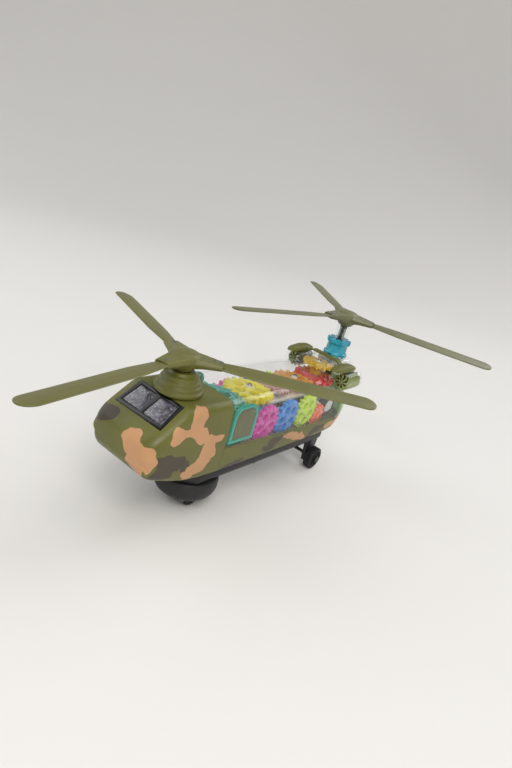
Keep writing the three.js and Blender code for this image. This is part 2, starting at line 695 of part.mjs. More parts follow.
// Running gear
function turntable() {
  const bowl = [
    [13, 8.2], [17.6, 9.2], [21, 11.6], [22.9, 14.8], [turntableRadius, 18], [turntableRadius, 22], [21.8, 25.2],
  ];
  const drum = turned(bowl, 32);
  const pocket = block([-12.6, -10.4, 0], [12.6, 10.4, 19.5]);
  const spindle = turned([[5.2, 24], [5.2, 32], [3, 34]], 16);
  const bearings = [-3.6, 3.6].map((x) => block([x - 1, -4, 6.6], [x + 1, 4, 20.5]));
  const body = join(cut(drum, pocket), spindle, ...bearings);
  const axleHole = alongX(rod(1.8, -16, 16, 12)).translate(0, 0, driveWheelRadius);
  return cut(body, axleHole).translate(0, turntableY, 0);
}

// A wheel along +Z from 0 to its width, with a tread of blocks and a dished face.
function wheel(radius, width, bore, lugs) {
  const tyre = turned([[radius - 1, 0], [radius, 0.8], [radius, width - 0.8], [radius - 1, width]], lugs);
  const dish = turned([[radius - 3.2, width - 1], [radius - 2.6, width + 1]], 16);
  const boss = rod(bore + 1.6, width - 1.4, width - 0.1, 12);
  return cut(join(cut(tyre, dish), boss), rod(bore, -5, width + 5, 12));
}

function placedWheel(side, x, y, z, radius, width) {
  const body = wheel(radius, width, 1.5 + gap, 24);
  if (side < 0) {
    body.rotateX(Math.PI);
  }
  return alongX(body).translate(x, y, z);
}

const driveWheel = (side) =>
  placedWheel(side, side * 5.6, turntableY, driveWheelRadius, driveWheelRadius, 5.6);
const rearWheel = (side) =>
  placedWheel(side, side * (rearWheelX - 3.6), rearWheelY, rearWheelRadius, rearWheelRadius, 7.2);
const driveAxle = () => alongX(rod(1.5, -12.2, 12.2, 16)).translate(0, turntableY, driveWheelRadius);

function rearAxle() {
  const ends = [-1, 1].map((side) => rod(2.8, side > 0 ? 27 : -28.4, side > 0 ? 28.4 : -27, 12));
  return alongX(join(rod(1.5, -28, 28, 16), ...ends)).translate(0, rearWheelY, rearWheelRadius);
}

// Assembly
const assembly = new THREE.Group();
assembly.name = "gear_helicopter";

function add(name, geometry, color, roughness = 0.5, opacity = 1) {
  const material = new THREE.MeshStandardMaterial({ color, roughness, metalness: 0 });
  if (opacity < 1) {
    material.transparent = true;
    material.opacity = opacity;
  }
  const mesh = new THREE.Mesh(geometry, material);
  mesh.name = name;
  assembly.add(mesh);
  return mesh;
}

const sides = [["port", 1], ["starboard", -1]];
const olive = 0x6b6b2e;
const black = 0x1a1a1a;
const clear = 0xe6eef0;

add("lower_hull", lowerHull(), olive);
add("belly_chassis", bellyChassis(), black);
add("nose_shell", noseShell(), olive);
add("windshield_frame", windshieldFrame(), 0x141414, 0.3);
add("front_mast_fairing", mastFairing(), olive);
add("fuselage_cover", fuselageCover(), clear, 0.1, 0.3);
add("rear_pylon_cover", pylonCover(), clear, 0.1, 0.3);
add("tail_cap", tailCap(), 0x8db060, 0.2, 0.7);
add("engine_cowls", engineCowls(), olive);
add("gear_deck", gearDeck(), 0xd8d4c8);
add("gear_frame", gearFrame(), 0xd8d4c8);
add("drive_motor", driveMotor(), 0xb4b6b8, 0.3).material.metalness = 1;
add("speaker", speaker(), 0x202022);
add("circuit_board", circuitBoard(), 0x2f7a45);
add("battery_door", batteryDoor(), black);
add("switch_knob", switchKnob(), 0xc83228);

for (const [name, side] of sides) {
  add(`windshield_pane_${name}`, windshieldPane(side), 0x6f6b78, 0.2);
  add(`door_frame_${name}`, doorFrame(side), 0x1fa08a, 0.2, 0.8);
  add(`door_panel_${name}`, doorPanel(side), 0x5a5a2c);
  add(`nacelle_${name}`, nacelle(side), clear, 0.1, 0.3);
  add(`turbine_${name}`, turbine(side), 0x55602c);
  add(`drive_wheel_${name}`, driveWheel(side), black, 0.8);
  add(`rear_wheel_${name}`, rearWheel(side), black, 0.8);
}

for (let i = 1; i <= 3; i += 1) {
  add(`battery_cell_${i}`, batteryCell(i), 0xb8b0a0, 0.4);
  add(`front_blade_${i}`, blade(frontMastY, frontRotorZ, frontBladeAngle + 120 * (i - 1)), 0x6f6e38);
  add(`rear_blade_${i}`, blade(rearMastY, rearRotorZ, rearBladeAngle + 120 * (i - 1)), 0x6e7050);
}

add("front_mast", mast(frontMastY, frontRotorZ - 2.2), 0xc8c8c8);
add("front_hub", hub(frontMastY, frontRotorZ, frontBladeAngle), 0x6f6e38);
add("rear_mast", mast(rearMastY, rearRotorZ - 2.2, ribbedColumn()), 0xe0e6e8, 0.2);
add("rear_hub", hub(rearMastY, rearRotorZ, rearBladeAngle), 0x6e7050);
add("rear_crown_sleeve", crownSleeve(), 0x2fa6b8, 0.3);

const gearColors = {
  front_mast_gear: 0xd8d4c8,
  teal_gear: 0x1fa08a,
  yellow_gear: 0xd8cc20,
  rosy_gear: 0xb08a80,
  amber_gear: 0xe0a030,
  red_gear: 0xc83228,
  magenta_gear: 0xc0409a,
  blue_gear: 0x2f7fc8,
  lime_gear: 0xb4cc20,
  orange_gear: 0xe0602a,
};
deckGears.forEach((gear) => add(gear.name, deckGear(gear), gearColors[gear.name], 0.3));
sideGears.forEach((gear) => add(gear.name, sideGear(gear), gearColors[gear.name], 0.3));
add("gold_gear", goldGear(), 0xc9a930, 0.3);
add("rear_mast_gear", rearMastGear(), 0xd8d4c8, 0.3);
add("cyan_pinion", cyanPinion(), 0x3bb5c4, 0.3);

add("drive_turntable", turntable(), black);
add("drive_axle", driveAxle(), 0xb4b6b8, 0.3).material.metalness = 1;
add("rear_axle", rearAxle(), 0xb4b6b8, 0.3).material.metalness = 1;

export default assembly;
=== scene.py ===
import bpy, bmesh, json, math
from mathutils import Matrix, Vector


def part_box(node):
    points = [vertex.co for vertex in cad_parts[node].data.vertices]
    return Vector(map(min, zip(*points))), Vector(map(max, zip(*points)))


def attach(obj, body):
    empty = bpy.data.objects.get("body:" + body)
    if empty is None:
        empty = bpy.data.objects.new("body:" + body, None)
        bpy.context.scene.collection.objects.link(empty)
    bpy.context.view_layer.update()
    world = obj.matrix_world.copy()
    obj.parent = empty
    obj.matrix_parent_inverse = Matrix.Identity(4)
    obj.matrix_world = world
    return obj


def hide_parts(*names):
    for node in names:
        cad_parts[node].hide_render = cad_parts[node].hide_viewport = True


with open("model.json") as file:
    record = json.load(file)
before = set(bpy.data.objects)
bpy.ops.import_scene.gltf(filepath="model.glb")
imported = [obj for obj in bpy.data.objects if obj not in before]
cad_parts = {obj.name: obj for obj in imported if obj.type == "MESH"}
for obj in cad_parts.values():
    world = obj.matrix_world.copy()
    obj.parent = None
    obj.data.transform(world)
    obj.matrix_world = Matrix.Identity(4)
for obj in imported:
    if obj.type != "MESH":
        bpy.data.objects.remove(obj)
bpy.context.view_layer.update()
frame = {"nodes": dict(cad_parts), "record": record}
record = frame["record"]
slotOf = {part["node"]: part["material_slot"] for part in record["subparts"]}
bodyOf = {node: body for body, nodes in record["behaviour"]["bodies"].items() for node in nodes}
mm = 0.001
print("frame loaded:", len(slotOf), "nodes")


def middleOf(node):
    low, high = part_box(node)
    return (low + high) / 2


def camelName(node):
    first, *rest = node.split("_")
    return first + "".join(word.capitalize() for word in rest)


def linear(hexColor):
    # sRGB hex to the linear values that shaders use
    channels = [int(hexColor[i:i + 2], 16) / 255 for i in (1, 3, 5)]
    return [c / 12.92 if c <= 0.04045 else ((c + 0.055) / 1.055) ** 2.4 for c in channels] + [1.0]


def objectFrom(name, mesh):
    obj = bpy.data.objects.new(name, mesh)
    bpy.context.scene.collection.objects.link(obj)
    return obj


def meshObject(name, points, faces, scale=mm):
    mesh = bpy.data.meshes.new(name)
    mesh.from_pydata([Vector(p) * scale for p in points], [], faces)
    mesh.update()
    return objectFrom(name, mesh)


def bake(obj):
    # turns the modifiers into plain mesh
    graph = bpy.context.evaluated_depsgraph_get()
    mesh = bpy.data.meshes.new_from_object(obj.evaluated_get(graph))
    obj.modifiers.clear()
    obj.data = mesh
    return obj


def tidyMesh(obj, distance=0.002):
    body = bmesh.new()
    body.from_mesh(obj.data)
    bmesh.ops.remove_doubles(body, verts=body.verts, dist=distance * mm)
    bmesh.ops.recalc_face_normals(body, faces=body.faces)
    if body.calc_volume(signed=True) < 0:
        bmesh.ops.reverse_faces(body, faces=body.faces)
    body.to_mesh(obj.data)
    body.free()
    return obj


def smoothBy(obj, degrees):
    obj.data.polygons.foreach_set("use_smooth", [True] * len(obj.data.polygons))
    obj.data.set_sharp_from_angle(angle=math.radians(degrees))
    return obj


def bevelled(obj, width, segments=2, degrees=32):
    bevel = obj.modifiers.new("bevel", "BEVEL")
    bevel.width = width * mm
    bevel.segments = segments
    bevel.limit_method = "ANGLE"
    bevel.angle_limit = math.radians(degrees)
    bevel.use_clamp_overlap = True
    bake(obj)
    return smoothBy(obj, 40)


def carve(obj, *cutters, how="DIFFERENCE"):
    for cutter in cutters:
        cut = obj.modifiers.new("cut", "BOOLEAN")
        cut.operation = how
        cut.solver = "EXACT"
        cut.object = cutter
    bake(obj)
    for cutter in cutters:
        bpy.data.objects.remove(cutter)
    return obj


def copyOf(node):
    # a merged copy of a CAD node's mesh, its flat faces joined up
    obj = objectFrom(camelName(node), frame["nodes"][node].data.copy())
    obj.data.materials.clear()
    body = bmesh.new()
    body.from_mesh(obj.data)
    bmesh.ops.remove_doubles(body, verts=body.verts, dist=0.002 * mm)
    bmesh.ops.dissolve_limit(body, angle_limit=math.radians(1.0), verts=body.verts, edges=body.edges)
    body.to_mesh(obj.data)
    body.free()
    return obj


def place(obj, matrix):
    obj.data.transform(matrix)
    return obj


def axisMatrix(point, axis, turn=0.0):
    # takes a piece drawn about +Z to a point and axis, in millimetres
    spin = Vector((0, 0, 1)).rotation_difference(Vector(axis)).to_matrix().to_4x4()
    return Matrix.Translation(Vector(point) * mm) @ spin @ Matrix.Rotation(turn, 4, "Z")


def turnedPiece(name, profile, sides, closed=False):
    # turned about +Z from (radius, height) steps; a closed profile leaves a bore
    points, rows, faces = [], [], []
    for radius, height in profile:
        if radius < 1e-6:
            rows.append([len(points)] * sides)
            points.append((0, 0, height))
            continue
        rows.append(list(range(len(points), len(points) + sides)))
        for i in range(sides):
            angle = 2 * math.pi * i / sides
            points.append((radius * math.cos(angle), radius * math.sin(angle), height))
    pairs = list(zip(rows, rows[1:])) + ([(rows[-1], rows[0])] if closed else [])
    for low, high in pairs:
        for i in range(sides):
            k = (i + 1) % sides
            corners = [low[i], low[k], high[k], high[i]]
            faces.append(tuple(dict.fromkeys(corners)))
    if not closed:
        for row in (rows[0], rows[-1]):
            if len(set(row)) > 1:
                faces.append(tuple(row))
    return tidyMesh(meshObject(name, points, faces), 0.0005)


def boxPiece(name, low, high):
    corners = [(x, y, z) for x in (low[0], high[0]) for y in (low[1], high[1]) for z in (low[2], high[2])]
    faces = [(0, 1, 3, 2), (4, 6, 7, 5), (0, 4, 5, 1), (2, 3, 7, 6), (0, 2, 6, 4), (1, 5, 7, 3)]
    return tidyMesh(meshObject(name, corners, faces))


def skinnedPiece(name, rings):
    # a skin over rings of points, closed at both ends
    count = len(rings[0])
    points = [p for ring in rings for p in ring]
    faces = []
    for i in range(len(rings) - 1):
        for j in range(count):
            k = (j + 1) % count
            faces.append((i * count + j, i * count + k, (i + 1) * count + k, (i + 1) * count + j))
    faces.append(tuple(range(count)))
    faces.append(tuple(range((len(rings) - 1) * count, len(rings) * count)))
    return tidyMesh(meshObject(name, points, faces), 0.0005)


def joined(first, *others):
    body = bmesh.new()
    for obj in (first, *others):
        body.from_mesh(obj.data)
    body.to_mesh(first.data)
    body.free()
    for obj in others:
        bpy.data.objects.remove(obj)
    return first


def finishPiece(obj, node, material=None):
    obj.data.materials.clear()
    obj.data.materials.append(material or finishes[slotOf[node]])
    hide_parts(node)
    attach(obj, bodyOf[node])
    return obj


def shaderGroup(name, inputs, outputs):
    tree = bpy.data.node_groups.new(name, "ShaderNodeTree")
    for label, kind, value in inputs:
        socket = tree.interface.new_socket(name=label, in_out="INPUT", socket_type=kind)
        if value is not None:
            socket.default_value = value
    for label, kind in outputs:
        tree.interface.new_socket(name=label, in_out="OUTPUT", socket_type=kind)
    return tree, tree.nodes.new("NodeGroupInput"), tree.nodes.new("NodeGroupOutput")


def mathNode(tree, operation, first, second=None, clamp=False):
    node = tree.nodes.new("ShaderNodeMath")
    node.operation = operation
    node.use_clamp = clamp
    for socket, value in zip(node.inputs, (first, second)):
        if isinstance(value, (int, float)):
            socket.default_value = value
        elif value is not None:
            tree.links.new(value, socket)
    return node.outputs[0]


def vectorNode(tree, operation, *values):
    node = tree.nodes.new("ShaderNodeVectorMath")
    node.operation = operation
    for socket, value in zip(node.inputs, values):
        if isinstance(value, (tuple, list)):
            socket.default_value = value
        else:
            tree.links.new(value, socket)
    return node


def mapped(tree, value, fromMin, fromMax, toMin, toMax, how="LINEAR"):
    node = tree.nodes.new("ShaderNodeMapRange")
    node.interpolation_type = how
    for label, number in (("From Min", fromMin), ("From Max", fromMax), ("To Min", toMin), ("To Max", toMax)):
        node.inputs[label].default_value = number
    tree.links.new(value, node.inputs["Value"])
    return node.outputs[0]


def noiseNode(tree, vector, scale, detail=3.0, roughness=0.55):
    noise = tree.nodes.new("ShaderNodeTexNoise")
    noise.inputs["Detail"].default_value = detail
    noise.inputs["Roughness"].default_value = roughness
    if isinstance(scale, (int, float)):
        noise.inputs["Scale"].default_value = scale
    else:
        tree.links.new(scale, noise.inputs["Scale"])
    tree.links.new(vector, noise.inputs["Vector"])
    return noise


def mouldedGrainGroup():
    # fine texture, slow mottle, faint scratches and settled dust of a moulded toy
    tree, source, result = shaderGroup("mouldedGrain", [
        ("Vector", "NodeSocketVector", None),
        ("Grain Scale", "NodeSocketFloat", 1800.0),
        ("Mottle Scale", "NodeSocketFloat", 45.0),
        ("Scratches", "NodeSocketFloat", 0.3),
    ], [
        ("Height", "NodeSocketFloat"), ("Mottle", "NodeSocketFloat"), ("Rough", "NodeSocketFloat"),
    ])
    fine = noiseNode(tree, source.outputs["Vector"], source.outputs["Grain Scale"], 2.0)
    slow = noiseNode(tree, source.outputs["Vector"], source.outputs["Mottle Scale"], 4.0)
    stretch = tree.nodes.new("ShaderNodeMapping")
    stretch.inputs["Scale"].default_value = (900.0, 60.0, 500.0)
    stretch.inputs["Rotation"].default_value = (0.4, 0.7, 0.5)
    tree.links.new(source.outputs["Vector"], stretch.inputs["Vector"])
    lines = noiseNode(tree, stretch.outputs[0], 1.0, 1.0)
    scratch = mathNode(tree, "MULTIPLY", mathNode(tree, "SUBTRACT", lines.outputs[0], 0.66, clamp=True), 4.0)
    scratch = mathNode(tree, "MULTIPLY", scratch, source.outputs["Scratches"])
    height = mathNode(tree, "SUBTRACT", mathNode(tree, "MULTIPLY", fine.outputs[0], 0.6), scratch)
    rough = mathNode(tree, "ADD", mathNode(tree, "MULTIPLY", slow.outputs[0], 0.7), scratch, clamp=True)
    tree.links.new(height, result.inputs["Height"])
    tree.links.new(slow.outputs[0], result.inputs["Mottle"])
    tree.links.new(rough, result.inputs["Rough"])
    return tree


camoPatches = {
    # centre and half sizes of each patch, in millimetres
    "tan": [
        ((10, -117, 69), (9, 12, 7)), ((20, -116, 68), (7, 10, 5)), ((15, -117, 60), (7, 10, 8)),
        ((23, -114, 62), (5, 9, 7)), ((28, -80, 87), (8, 7, 6)), ((28, -82, 80), (8, 6, 8)),
        ((28, -91, 78), (8, 10, 4.5)), ((28, -75, 73), (8, 8, 7)), ((28, -62, 68), (8, 10, 5)),
        ((28, -66, 59), (8, 8, 9)), ((28, -71, 50), (8, 10, 5)), ((28, -80, 46), (8, 6, 4)),
        ((-28, -72, 72), (8, 12, 7)), ((-28, -80, 62), (8, 6, 9)), ((-28, -98, 53), (8, 8, 6)),
        ((-28, -89, 49), (8, 8, 3)), ((28, 36, 47), (8, 13, 4)), ((28, 47, 42), (8, 10, 4)),
        ((28, 101, 46), (9, 13, 5)), ((24, 113, 50), (6, 6, 4)), ((-28, -2, 47), (8, 11, 5)),
        ((-28, 10, 43), (8, 8, 4)), ((-28, 84, 45), (8, 14, 5)), ((-28, 94, 40), (8, 6, 4)),
    ],
    "dark": [
        ((-18, -113, 72), (9, 9, 5.5)), ((-27, -106, 71), (7, 8, 5)), ((28, -104, 61), (9, 9, 6)),
        ((28, -94, 57), (8, 10, 6)), ((27, -104, 51), (9, 7, 6)), ((28, -84, 53), (8, 6, 4)),
        ((-28, -92, 84), (8, 12, 4)), ((-28, -58, 52), (8, 12, 5)), ((-28, -66, 46), (8, 6, 5)),
        ((28, 14, 48), (8, 9, 4)), ((28, 6, 43), (8, 9, 4)), ((28, 74, 46), (8, 11, 4)),
        ((28, 66, 41), (8, 6, 4)), ((28, -32, 40), (8, 14, 3)), ((-28, 42, 46), (8, 11, 5)),
        ((-28, 52, 41), (8, 8, 3)), ((-28, -38, 50), (8, 8, 4)), ((0, 127, 56), (9, 6, 4)),
        ((-16, -56, 92), (7, 6, 5)), ((20, -118, 50), (8, 8, 3)),
    ],
    "edge": (0.97, 1.05),  # share of a patch's size where its edge starts and ends
}


def camoGroup():
    # masks of the tan and dark patches, their edges wandering with a noise
    tree, source, result = shaderGroup("camoPatches", [
        ("Vector", "NodeSocketVector", None),
        ("Wander", "NodeSocketFloat", 0.017),
        ("Wander Scale", "NodeSocketFloat", 70.0),
    ], [("Tan", "NodeSocketFloat"), ("Dark", "NodeSocketFloat")])
    vector = source.outputs["Vector"]
    noise = noiseNode(tree, vector, source.outputs["Wander Scale"], 2.0, 0.42)
    shift = vectorNode(tree, "SUBTRACT", noise.outputs["Color"], (0.5, 0.5, 0.5))
    warp = vectorNode(tree, "MULTIPLY_ADD", shift.outputs[0], source.outputs["Wander"], vector)
    for label, key in (("Tan", "tan"), ("Dark", "dark")):
        nearest = None
        for centre, half in camoPatches[key]:
            offset = vectorNode(tree, "SUBTRACT", warp.outputs[0], [c * mm for c in centre])
            scaled = vectorNode(tree, "DIVIDE", offset.outputs[0], [h * mm for h in half])
            reach = vectorNode(tree, "LENGTH", scaled.outputs[0]).outputs["Value"]
            nearest = reach if nearest is None else mathNode(tree, "MINIMUM", nearest, reach)
        mask = mapped(tree, nearest, *camoPatches["edge"], 1.0, 0.0, "SMOOTHSTEP")
        tree.links.new(mask, result.inputs[label])
    return tree


grainTree = mouldedGrainGroup()
camoTree = camoGroup()


def newMaterial(name):
    material = bpy.data.materials.new(name)
    material.use_nodes = True
    tree = material.node_tree
    coordinates = tree.nodes.new("ShaderNodeTexCoord")
    return material, tree, tree.nodes["Principled BSDF"], coordinates.outputs["Object"]


def mixColors(tree, amount, first, second):
    mix = tree.nodes.new("ShaderNodeMix")
    mix.data_type = "RGBA"
    if isinstance(amount, (int, float)):
        mix.inputs[0].default_value = amount
    else:
        tree.links.new(amount, mix.inputs[0])
    for socket, value in ((mix.inputs[6], first), (mix.inputs[7], second)):
        if isinstance(value, list):
            socket.default_value = value
        else:
            tree.links.new(value, socket)
    return mix.outputs[2]


def addGrain(tree, shader, vector, rough, bump, scratches):
    # the shared grain drives roughness and bump; its mottle comes back for the colour
    grain = tree.nodes.new("ShaderNodeGroup")
    grain.node_tree = grainTree
    tree.links.new(vector, grain.inputs["Vector"])
    grain.inputs["Scratches"].default_value = scratches
    tree.links.new(mapped(tree, grain.outputs["Rough"], 0.15, 0.75, *rough), shader.inputs["Roughness"])
    bumpNode = tree.nodes.new("ShaderNodeBump")
    bumpNode.inputs["Strength"].default_value = bump
    bumpNode.inputs["Distance"].default_value = 0.0002
    tree.links.new(grain.outputs["Height"], bumpNode.inputs["Height"])
    tree.links.new(bumpNode.outputs[0], shader.inputs["Normal"])
    return grain.outputs["Mottle"]


def shaded(hexColor, amount):
    return [c * amount for c in linear(hexColor)[:3]] + [1.0]


def mottled(tree, mottle, color, dark, light):
    # one colour drifting between two shades of itself
    return mixColors(tree, mapped(tree, mottle, 0.3, 0.7, 0.0, 1.0), shaded(color, dark), shaded(color, light))


def mouldedPlastic(name, color, rough, bump, coat, contrast):
    material, tree, shader, vector = newMaterial(name)
    mottle = addGrain(tree, shader, vector, rough, bump, 0.3)
    tree.links.new(mottled(tree, mottle, color, 1 - contrast, 1 + contrast), shader.inputs["Base Color"])
    shader.inputs["Coat Weight"].default_value = coat
    shader.inputs["Coat Roughness"].default_value = 0.12
    return material


def camoPlastic(name, colors):
    material, tree, shader, vector = newMaterial(name)
    mottle = addGrain(tree, shader, vector, (0.36, 0.55), 0.22, 0.35)
    patches = tree.nodes.new("ShaderNodeGroup")
    patches.node_tree = camoTree
    tree.links.new(vector, patches.inputs["Vector"])
    base = mottled(tree, mottle, colors["olive"], 0.88, 1.12)
    dark = mottled(tree, mottle, colors["dark"], 0.85, 1.15)
    tan = mottled(tree, mottle, colors["tan"], 0.93, 1.06)
    withDark = mixColors(tree, patches.outputs["Dark"], base, dark)
    tree.links.new(mixColors(tree, patches.outputs["Tan"], withDark, tan), shader.inputs["Base Color"])
    return material


def tintedPlastic(name, color, solid=0.86, glow=0.06):
    # see-through moulded plastic: thicker looking towards its edges, glossy, with a painted glow as if lit from
    # inside
    material, tree, shader, vector = newMaterial(name)
    mottle = addGrain(tree, shader, vector, (0.06, 0.2), 0.05, 0.15)
    weight = tree.nodes.new("ShaderNodeLayerWeight")
    weight.inputs["Blend"].default_value = 0.45
    facing = weight.outputs["Facing"]
    warm = mottled(tree, mottle, color, 0.9, 1.15)
    rim = mixColors(tree, mapped(tree, facing, 0.0, 0.9, 0.0, 0.75), warm, shaded(color, 0.5))
    tree.links.new(rim, shader.inputs["Base Color"])
    tree.links.new(mapped(tree, facing, 0.0, 0.7, solid, 1.0), shader.inputs["Alpha"])
    # painted glow: the plastic gives off a faint light of its own colour, though no lamp is inside it
    shader.inputs["Emission Color"].default_value = linear(color)
    shader.inputs["Emission Strength"].default_value = glow
    shader.inputs["Coat Weight"].default_value = 0.6
    shader.inputs["Coat Roughness"].default_value = 0.04
    return material


def clearPlastic(name, least=0.05, most=0.8):
    # clear shell: only its reflections show, growing towards its edges; its inner faces add nothing
    material, tree, shader, vector = newMaterial(name)
    mottle = addGrain(tree, shader, vector, (0.03, 0.14), 0.03, 0.4)
    tree.links.new(mottled(tree, mottle, "#eef4f6", 0.94, 1.0), shader.inputs["Base Color"])
    facing = tree.nodes.new("ShaderNodeLayerWeight")
    facing.inputs["Blend"].default_value = 0.3
    steep = mathNode(tree, "POWER", facing.outputs["Facing"], 2.6)
    outward = mathNode(tree, "SUBTRACT", 1.0, tree.nodes.new("ShaderNodeNewGeometry").outputs["Backfacing"])
    veil = mathNode(tree, "MULTIPLY", mapped(tree, steep, 0.0, 1.0, least, most), outward)
    tree.links.new(veil, shader.inputs["Alpha"])
    shader.inputs["Metallic"].default_value = 0.85
    return material


def metal(name, color, rough=(0.18, 0.35)):
    material, tree, shader, vector = newMaterial(name)
    mottle = addGrain(tree, shader, vector, rough, 0.08, 0.6)
    tree.links.new(mottled(tree, mottle, color, 0.85, 1.1), shader.inputs["Base Color"])
    shader.inputs["Metallic"].default_value = 1.0
    return material


def printAndShadeBands(name, light, dark, centre, turns, perMetre, start=0.0):
    # helical bands about the Y axis through a centre given in metres; on the cell jackets they are print, on the
    # turbines the dark bands are painted shade in the valleys between the fins and the light bands lie on the fin
    # crests
    material, tree, shader, vector = newMaterial(name)
    addGrain(tree, shader, vector, (0.25, 0.45), 0.1, 0.2)
    apart = tree.nodes.new("ShaderNodeSeparateXYZ")
    tree.links.new(vector, apart.inputs[0])
    across = mathNode(tree, "SUBTRACT", mathNode(tree, "ABSOLUTE", apart.outputs["X"]), abs(centre.x))
    up = mathNode(tree, "SUBTRACT", apart.outputs["Z"], centre.z)
    angle = mathNode(tree, "MULTIPLY", mathNode(tree, "ARCTAN2", up, across), turns)
    along = mathNode(tree, "MULTIPLY", mathNode(tree, "SUBTRACT", apart.outputs["Y"], start), perMetre)
    phase = mathNode(tree, "ADD", angle, along)
    band = mapped(tree, mathNode(tree, "COSINE", phase), -0.1, 0.25, 0.0, 1.0)
    tree.links.new(mixColors(tree, band, linear(dark), linear(light)), shader.inputs["Base Color"])
    return material


windshieldColors = {"dark": "#17161b", "light": "#77727f", "fleck": "#b9b2bd"}


def windshieldPrint(name):
    # mottled grey and lavender print under a gloss lacquer
    material, tree, shader, vector = newMaterial(name)
    cells = tree.nodes.new("ShaderNodeTexVoronoi")
    cells.inputs["Scale"].default_value = 520.0
    tree.links.new(vector, cells.inputs["Vector"])
    cloud = mapped(tree, noiseNode(tree, vector, 210.0, 5.0, 0.7).outputs[0], 0.36, 0.64, 0.0, 1.0)
    base = mixColors(tree, cloud, linear(windshieldColors["dark"]), linear(windshieldColors["light"]))
    fleck = mapped(tree, cells.outputs["Distance"], 0.12, 0.3, 0.8, 0.0)
    tree.links.new(mixColors(tree, fleck, base, linear(windshieldColors["fleck"])), shader.inputs["Base Color"])
    shader.inputs["Roughness"].default_value = 0.18
    shader.inputs["Coat Weight"].default_value = 1.0
    shader.inputs["Coat Roughness"].default_value = 0.03
    return material


camoColors = {"olive": "#646427", "tan": "#c69468", "dark": "#443b2b"}
finishes = {
    "olive_hull": camoPlastic("camoHull", camoColors),
    "blade_olive": mouldedPlastic("bladeOlive", "#65642f", (0.34, 0.52), 0.2, 0.0, 0.1),
    "black_plastic": mouldedPlastic("blackBelly", "#1b1b1c", (0.42, 0.6), 0.5, 0.0, 0.2),
    "black_gloss": mouldedPlastic("windshieldBlack", "#0b0b0c", (0.22, 0.36), 0.1, 0.2, 0.15),
    "windshield_grey": windshieldPrint("windshieldPrint"),
    "door_olive": mouldedPlastic("doorOlive", "#55562a", (0.2, 0.34), 0.1, 0.5, 0.15),
    "rubber_black": mouldedPlastic("tyreRubber", "#17171a", (0.6, 0.8), 0.8, 0.0, 0.25),
    "ivory_plastic": mouldedPlastic("ivoryFrame", "#dcd8cc", (0.3, 0.45), 0.1, 0.1, 0.05),
    "motor_steel": metal("motorCan", "#b8babd"),
    "steel": metal("axleSteel", "#c4c6c9", (0.12, 0.28)),
    "board_green": mouldedPlastic("boardGreen", "#2a7444", (0.25, 0.4), 0.1, 0.5, 0.1),
    "red_plastic": mouldedPlastic("switchRed", "#c43226", (0.25, 0.4), 0.15, 0.2, 0.08),
    "cell_jacket": printAndShadeBands("cellJacket", "#c9b489", "#33383c", Vector((0, 0, 0.0378)), 0, 120.0),
    "clear_plastic": clearPlastic("clearCover"),
    "green_clear": tintedPlastic("tailGreen", "#9cc26a", 0.74, 0.1),
    "teal_clear": tintedPlastic("tealTint", "#17a289", 0.86),
    "cyan_clear": tintedPlastic("cyanTint", "#28a0b6", 0.86, 0.08),
    "yellow_clear": tintedPlastic("yellowTint", "#e6da1a", 0.92, 0.08),
    "rosy_plastic": mouldedPlastic("rosyPlastic", "#b58a80", (0.2, 0.35), 0.1, 0.3, 0.08),
    "amber_clear": tintedPlastic("amberTint", "#e8a02a", 0.9),
    "red_clear": tintedPlastic("redTint", "#d8281c", 0.9, 0.08),
    "gold_plastic": mouldedPlastic("goldPlastic", "#d0ac28", (0.2, 0.35), 0.1, 0.4, 0.08),
    "magenta_clear": tintedPlastic("magentaTint", "#d43aa8", 0.88, 0.12),
    "blue_clear": tintedPlastic("blueTint", "#2a84d4", 0.88, 0.1),
    "lime_clear": tintedPlastic("limeTint", "#bcd81e", 0.88, 0.1),
    "orange_clear": tintedPlastic("orangeTint", "#ee6024", 0.88, 0.08),
}
screwSteel = metal("screwSteel", "#8f9194", (0.25, 0.4))
darkShaft = metal("darkShaft", "#4c4e46", (0.2, 0.4))
ribClear = clearPlastic("ribClear", 0.3, 0.9)
panelWhite = mouldedPlastic("grilleWhite", "#e4e2dc", (0.25, 0.4), 0.1, 0.2, 0.05)
print("materials made:", len(finishes))


def geometryTree(name, inputs):
    tree = bpy.data.node_groups.new(name, "GeometryNodeTree")
    tree.interface.new_socket(name="Geometry", in_out="INPUT", socket_type="NodeSocketGeometry")
    for label, kind, value in inputs:
        socket = tree.interface.new_socket(name=label, in_out="INPUT", socket_type=kind)
        if value is not None:
            socket.default_value = value
    tree.interface.new_socket(name="Finish", in_out="INPUT", socket_type="NodeSocketMaterial")
    tree.interface.new_socket(name="Geometry", in_out="OUTPUT", socket_type="NodeSocketGeometry")
    return tree, tree.nodes.new("NodeGroupInput"), tree.nodes.new("NodeGroupOutput")


def closeTree(tree, source, result, geometry):
    realize = tree.nodes.new("GeometryNodeRealizeInstances")
    paint = tree.nodes.new("GeometryNodeSetMaterial")
    tree.links.new(geometry, realize.inputs[0])
    tree.links.new(realize.outputs[0], paint.inputs["Geometry"])
    tree.links.new(source.outputs["Finish"], paint.inputs["Material"])
    tree.links.new(paint.outputs[0], result.inputs[0])
    return tree


def attributeTurn(tree):
    # Z along the stored "facing" vector, then X as near "along" as it can be
    last = None
    for label, axis in (("facing", "Z"), ("along", "X")):
        stored = tree.nodes.new("GeometryNodeInputNamedAttribute")
        stored.data_type = "FLOAT_VECTOR"
        stored.inputs["Name"].default_value = label
        align = tree.nodes.new("FunctionNodeAlignRotationToVector")
        align.axis = axis
        if axis == "X":
            align.pivot_axis = "Z"
        tree.links.new(stored.outputs[0], align.inputs["Vector"])
        if last is not None:
            tree.links.new(last, align.inputs["Rotation"])
        last = align.outputs[0]
    return last


